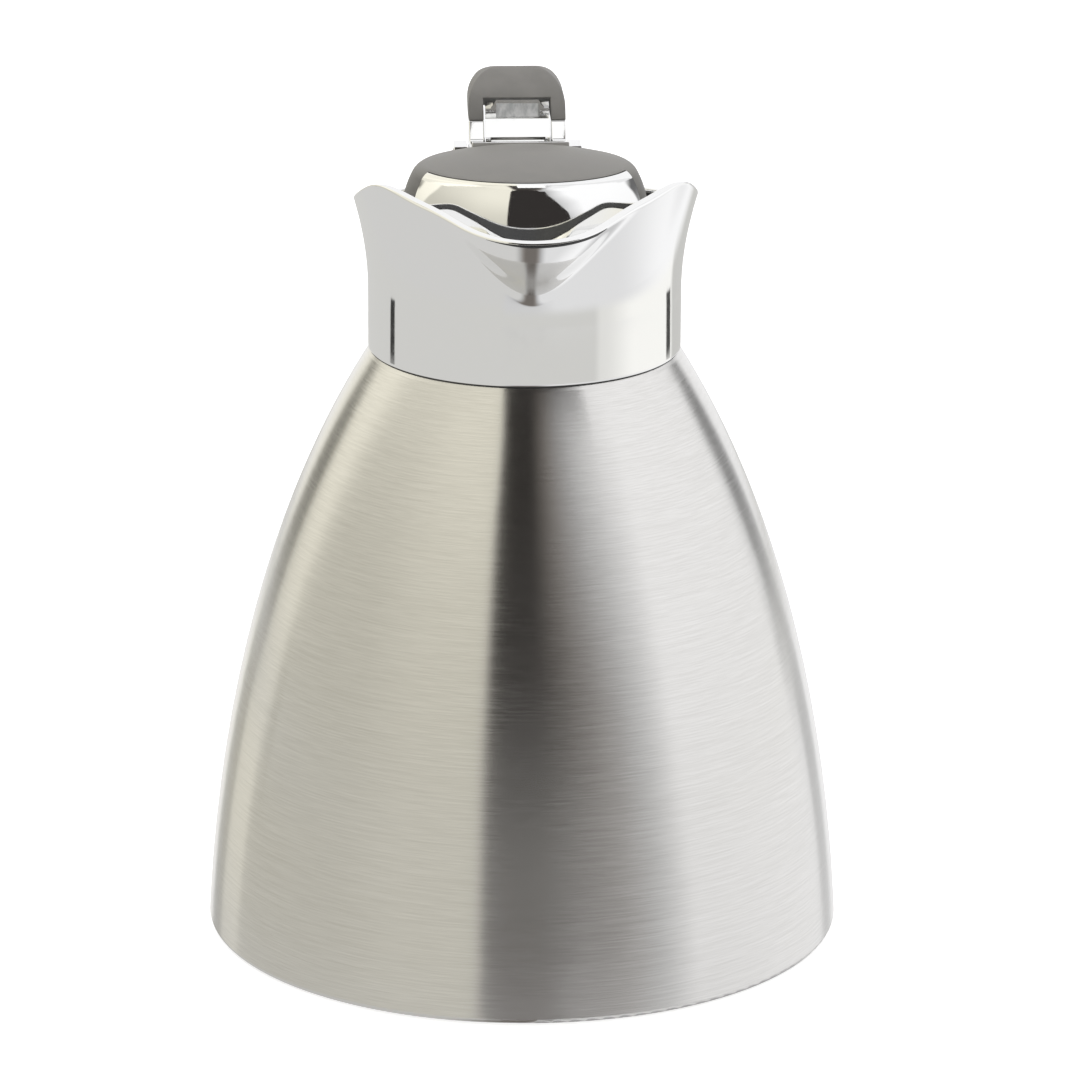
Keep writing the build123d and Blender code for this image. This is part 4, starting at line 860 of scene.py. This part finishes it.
def paint_ring(g, glow):
    """The ring's own level in its middle, the table's towards its edges, and the dark lines."""
    x, y, _ = g.split(g.point())
    turn = g.turn(x, y)
    distance = g.math("SQRT", g.plus(g.times(x, x), g.times(y, y)))
    own = g.times(g.ramp(distance, RING_START), g.fade(distance, RING_END))
    ring = g.plus(g.ramp(turn, *RING_BY_TURN), g.ramp(turn, *RING_BEHIND), g.ramp(turn, *RING_DIM))
    level = g.over(table_level(g, turn), ring, own)
    g.put(glow.inputs["Strength"], dark_lines(g, level, turn, distance))
    table = g.mix(g.ramp(turn, GAP_EDGE), TABLE_WARM, COOL)
    g.put(glow.inputs["Color"], g.mix(own, table, RING_COLOR))


def table_ring():
    """A pale ring on the table at the distance that the collar's upright wall mirrors."""
    points = []
    for radius in (RING_START[0], RING_END[1]):
        for i in range(RING_COUNT):
            angle = 2 * math.pi * i / RING_COUNT
            points.append((radius * math.sin(angle), -radius * math.cos(angle), RING_Z))
    glowing_card("table_ring", points, ring_faces(RING_COUNT, 2, closed=False), paint_ring)


def lid_card():
    """A small card over the lid, for the hinge's sloping fronts."""
    centre = MM * Vector(LID_CARD_CENTRE)
    side = MM * LID_CARD_HALF[0] * Vector((1.0, 0.0, 0.0))
    down = MM * LID_CARD_HALF[1] * Vector(LID_CARD_DOWN)
    corners = [tuple(centre + u * side + v * down) for u, v in ((-1, -1), (1, -1), (1, 1), (-1, 1))]

    def paint(g, glow):
        glow.inputs["Strength"].default_value = LID_CARD_LEVEL

    glowing_card("lid_card", corners, [(0, 1, 2, 3)], paint)


def lid_gap():
    """A dark card high in front of the lid, whose slanting edge shows in the lid's polished front."""
    corners = [(MM * x, MM * LID_GAP_Y, MM * z) for x, z in LID_GAP_OUTLINE]

    def paint(g, glow):
        glow.inputs["Color"].default_value = LID_GAP_COLOR
        glow.inputs["Strength"].default_value = LID_GAP_LEVEL

    glowing_card("lid_gap", corners, [tuple(range(len(corners)))], paint)


def floor():
    """A plain pale floor, which glows to the camera so that only the carafe's soft shadow shows on it."""
    bpy.ops.mesh.primitive_plane_add(size=FLOOR_SIZE)
    plane = bpy.context.object
    plane.name = "floor"
    material, g = empty_material("floor")
    diffuse = g.add("ShaderNodeBsdfDiffuse")
    diffuse.inputs["Color"].default_value = FLOOR_COLOR
    glow = g.add("ShaderNodeEmission")
    glow.inputs["Color"].default_value = WHITE
    path = g.add("ShaderNodeLightPath")
    g.put(glow.inputs["Strength"], g.times(path.outputs["Is Camera Ray"], FLOOR_GLOW))
    both = g.add("ShaderNodeAddShader")
    g.put(both.inputs[0], diffuse.outputs[0])
    g.put(both.inputs[1], glow.outputs[0])
    output = g.add("ShaderNodeOutputMaterial")
    g.put(output.inputs[0], both.outputs[0])
    plane.data.materials.append(material)
    plane.visible_glossy = False


def lamp(name, place, size, power):
    """A soft lamp that looks at the carafe. It gives diffuse light only: reflections show the room."""
    data = bpy.data.lights.new(name, "AREA")
    data.shape = "RECTANGLE"
    data.size, data.size_y = size
    data.energy = power
    thing = bpy.data.objects.new(name, data)
    bpy.context.scene.collection.objects.link(thing)
    thing.location = place
    thing.rotation_euler = (Vector(LAMP_AIM) - Vector(place)).to_track_quat("-Z", "Y").to_euler()
    thing.visible_glossy = False


def camera():
    """The camera of the fitted view."""
    pitch, roll, pan, yaw = (math.radians(a) for a in (CAMERA_PITCH, CAMERA_ROLL, CAMERA_PAN, CAMERA_YAW))
    ahead = Vector((math.sin(pan) * math.cos(pitch), math.cos(pan) * math.cos(pitch), -math.sin(pitch)))
    level = Vector((math.cos(pan), -math.sin(pan), 0))
    upright = level.cross(ahead)
    right = math.cos(roll) * level + math.sin(roll) * upright
    up = -math.sin(roll) * level + math.cos(roll) * upright
    place = MM * Vector((0, -CAMERA_DISTANCE, CAMERA_HEIGHT))
    turned = Matrix.Rotation(-yaw, 3, "Z")
    columns = [turned @ column for column in (right, up, -ahead, place)]
    data = bpy.data.cameras.new("camera")
    data.sensor_width = SENSOR
    data.lens = FOCAL_PIXELS / IMAGE_PIXELS * SENSOR
    data.clip_start = CLIP_START
    thing = bpy.data.objects.new("camera", data)
    bpy.context.scene.collection.objects.link(thing)
    thing.matrix_world = Matrix([*zip(*columns), (0, 0, 0, 1)])
    bpy.context.scene.camera = thing


dress_nodes()
for node_name, edge_width in SOFT_EDGES.items():
    soften(node_name, edge_width)
collar_skin()
collar_dark_band()
beak_painted_shade()
cap_backing()
camera()
floor()
studio_world()
table_ring()
lid_card()
lid_gap()
for lamp_name, values in LAMPS.items():
    lamp(lamp_name, **values)
bpy.context.scene.view_settings.view_transform = "Standard"
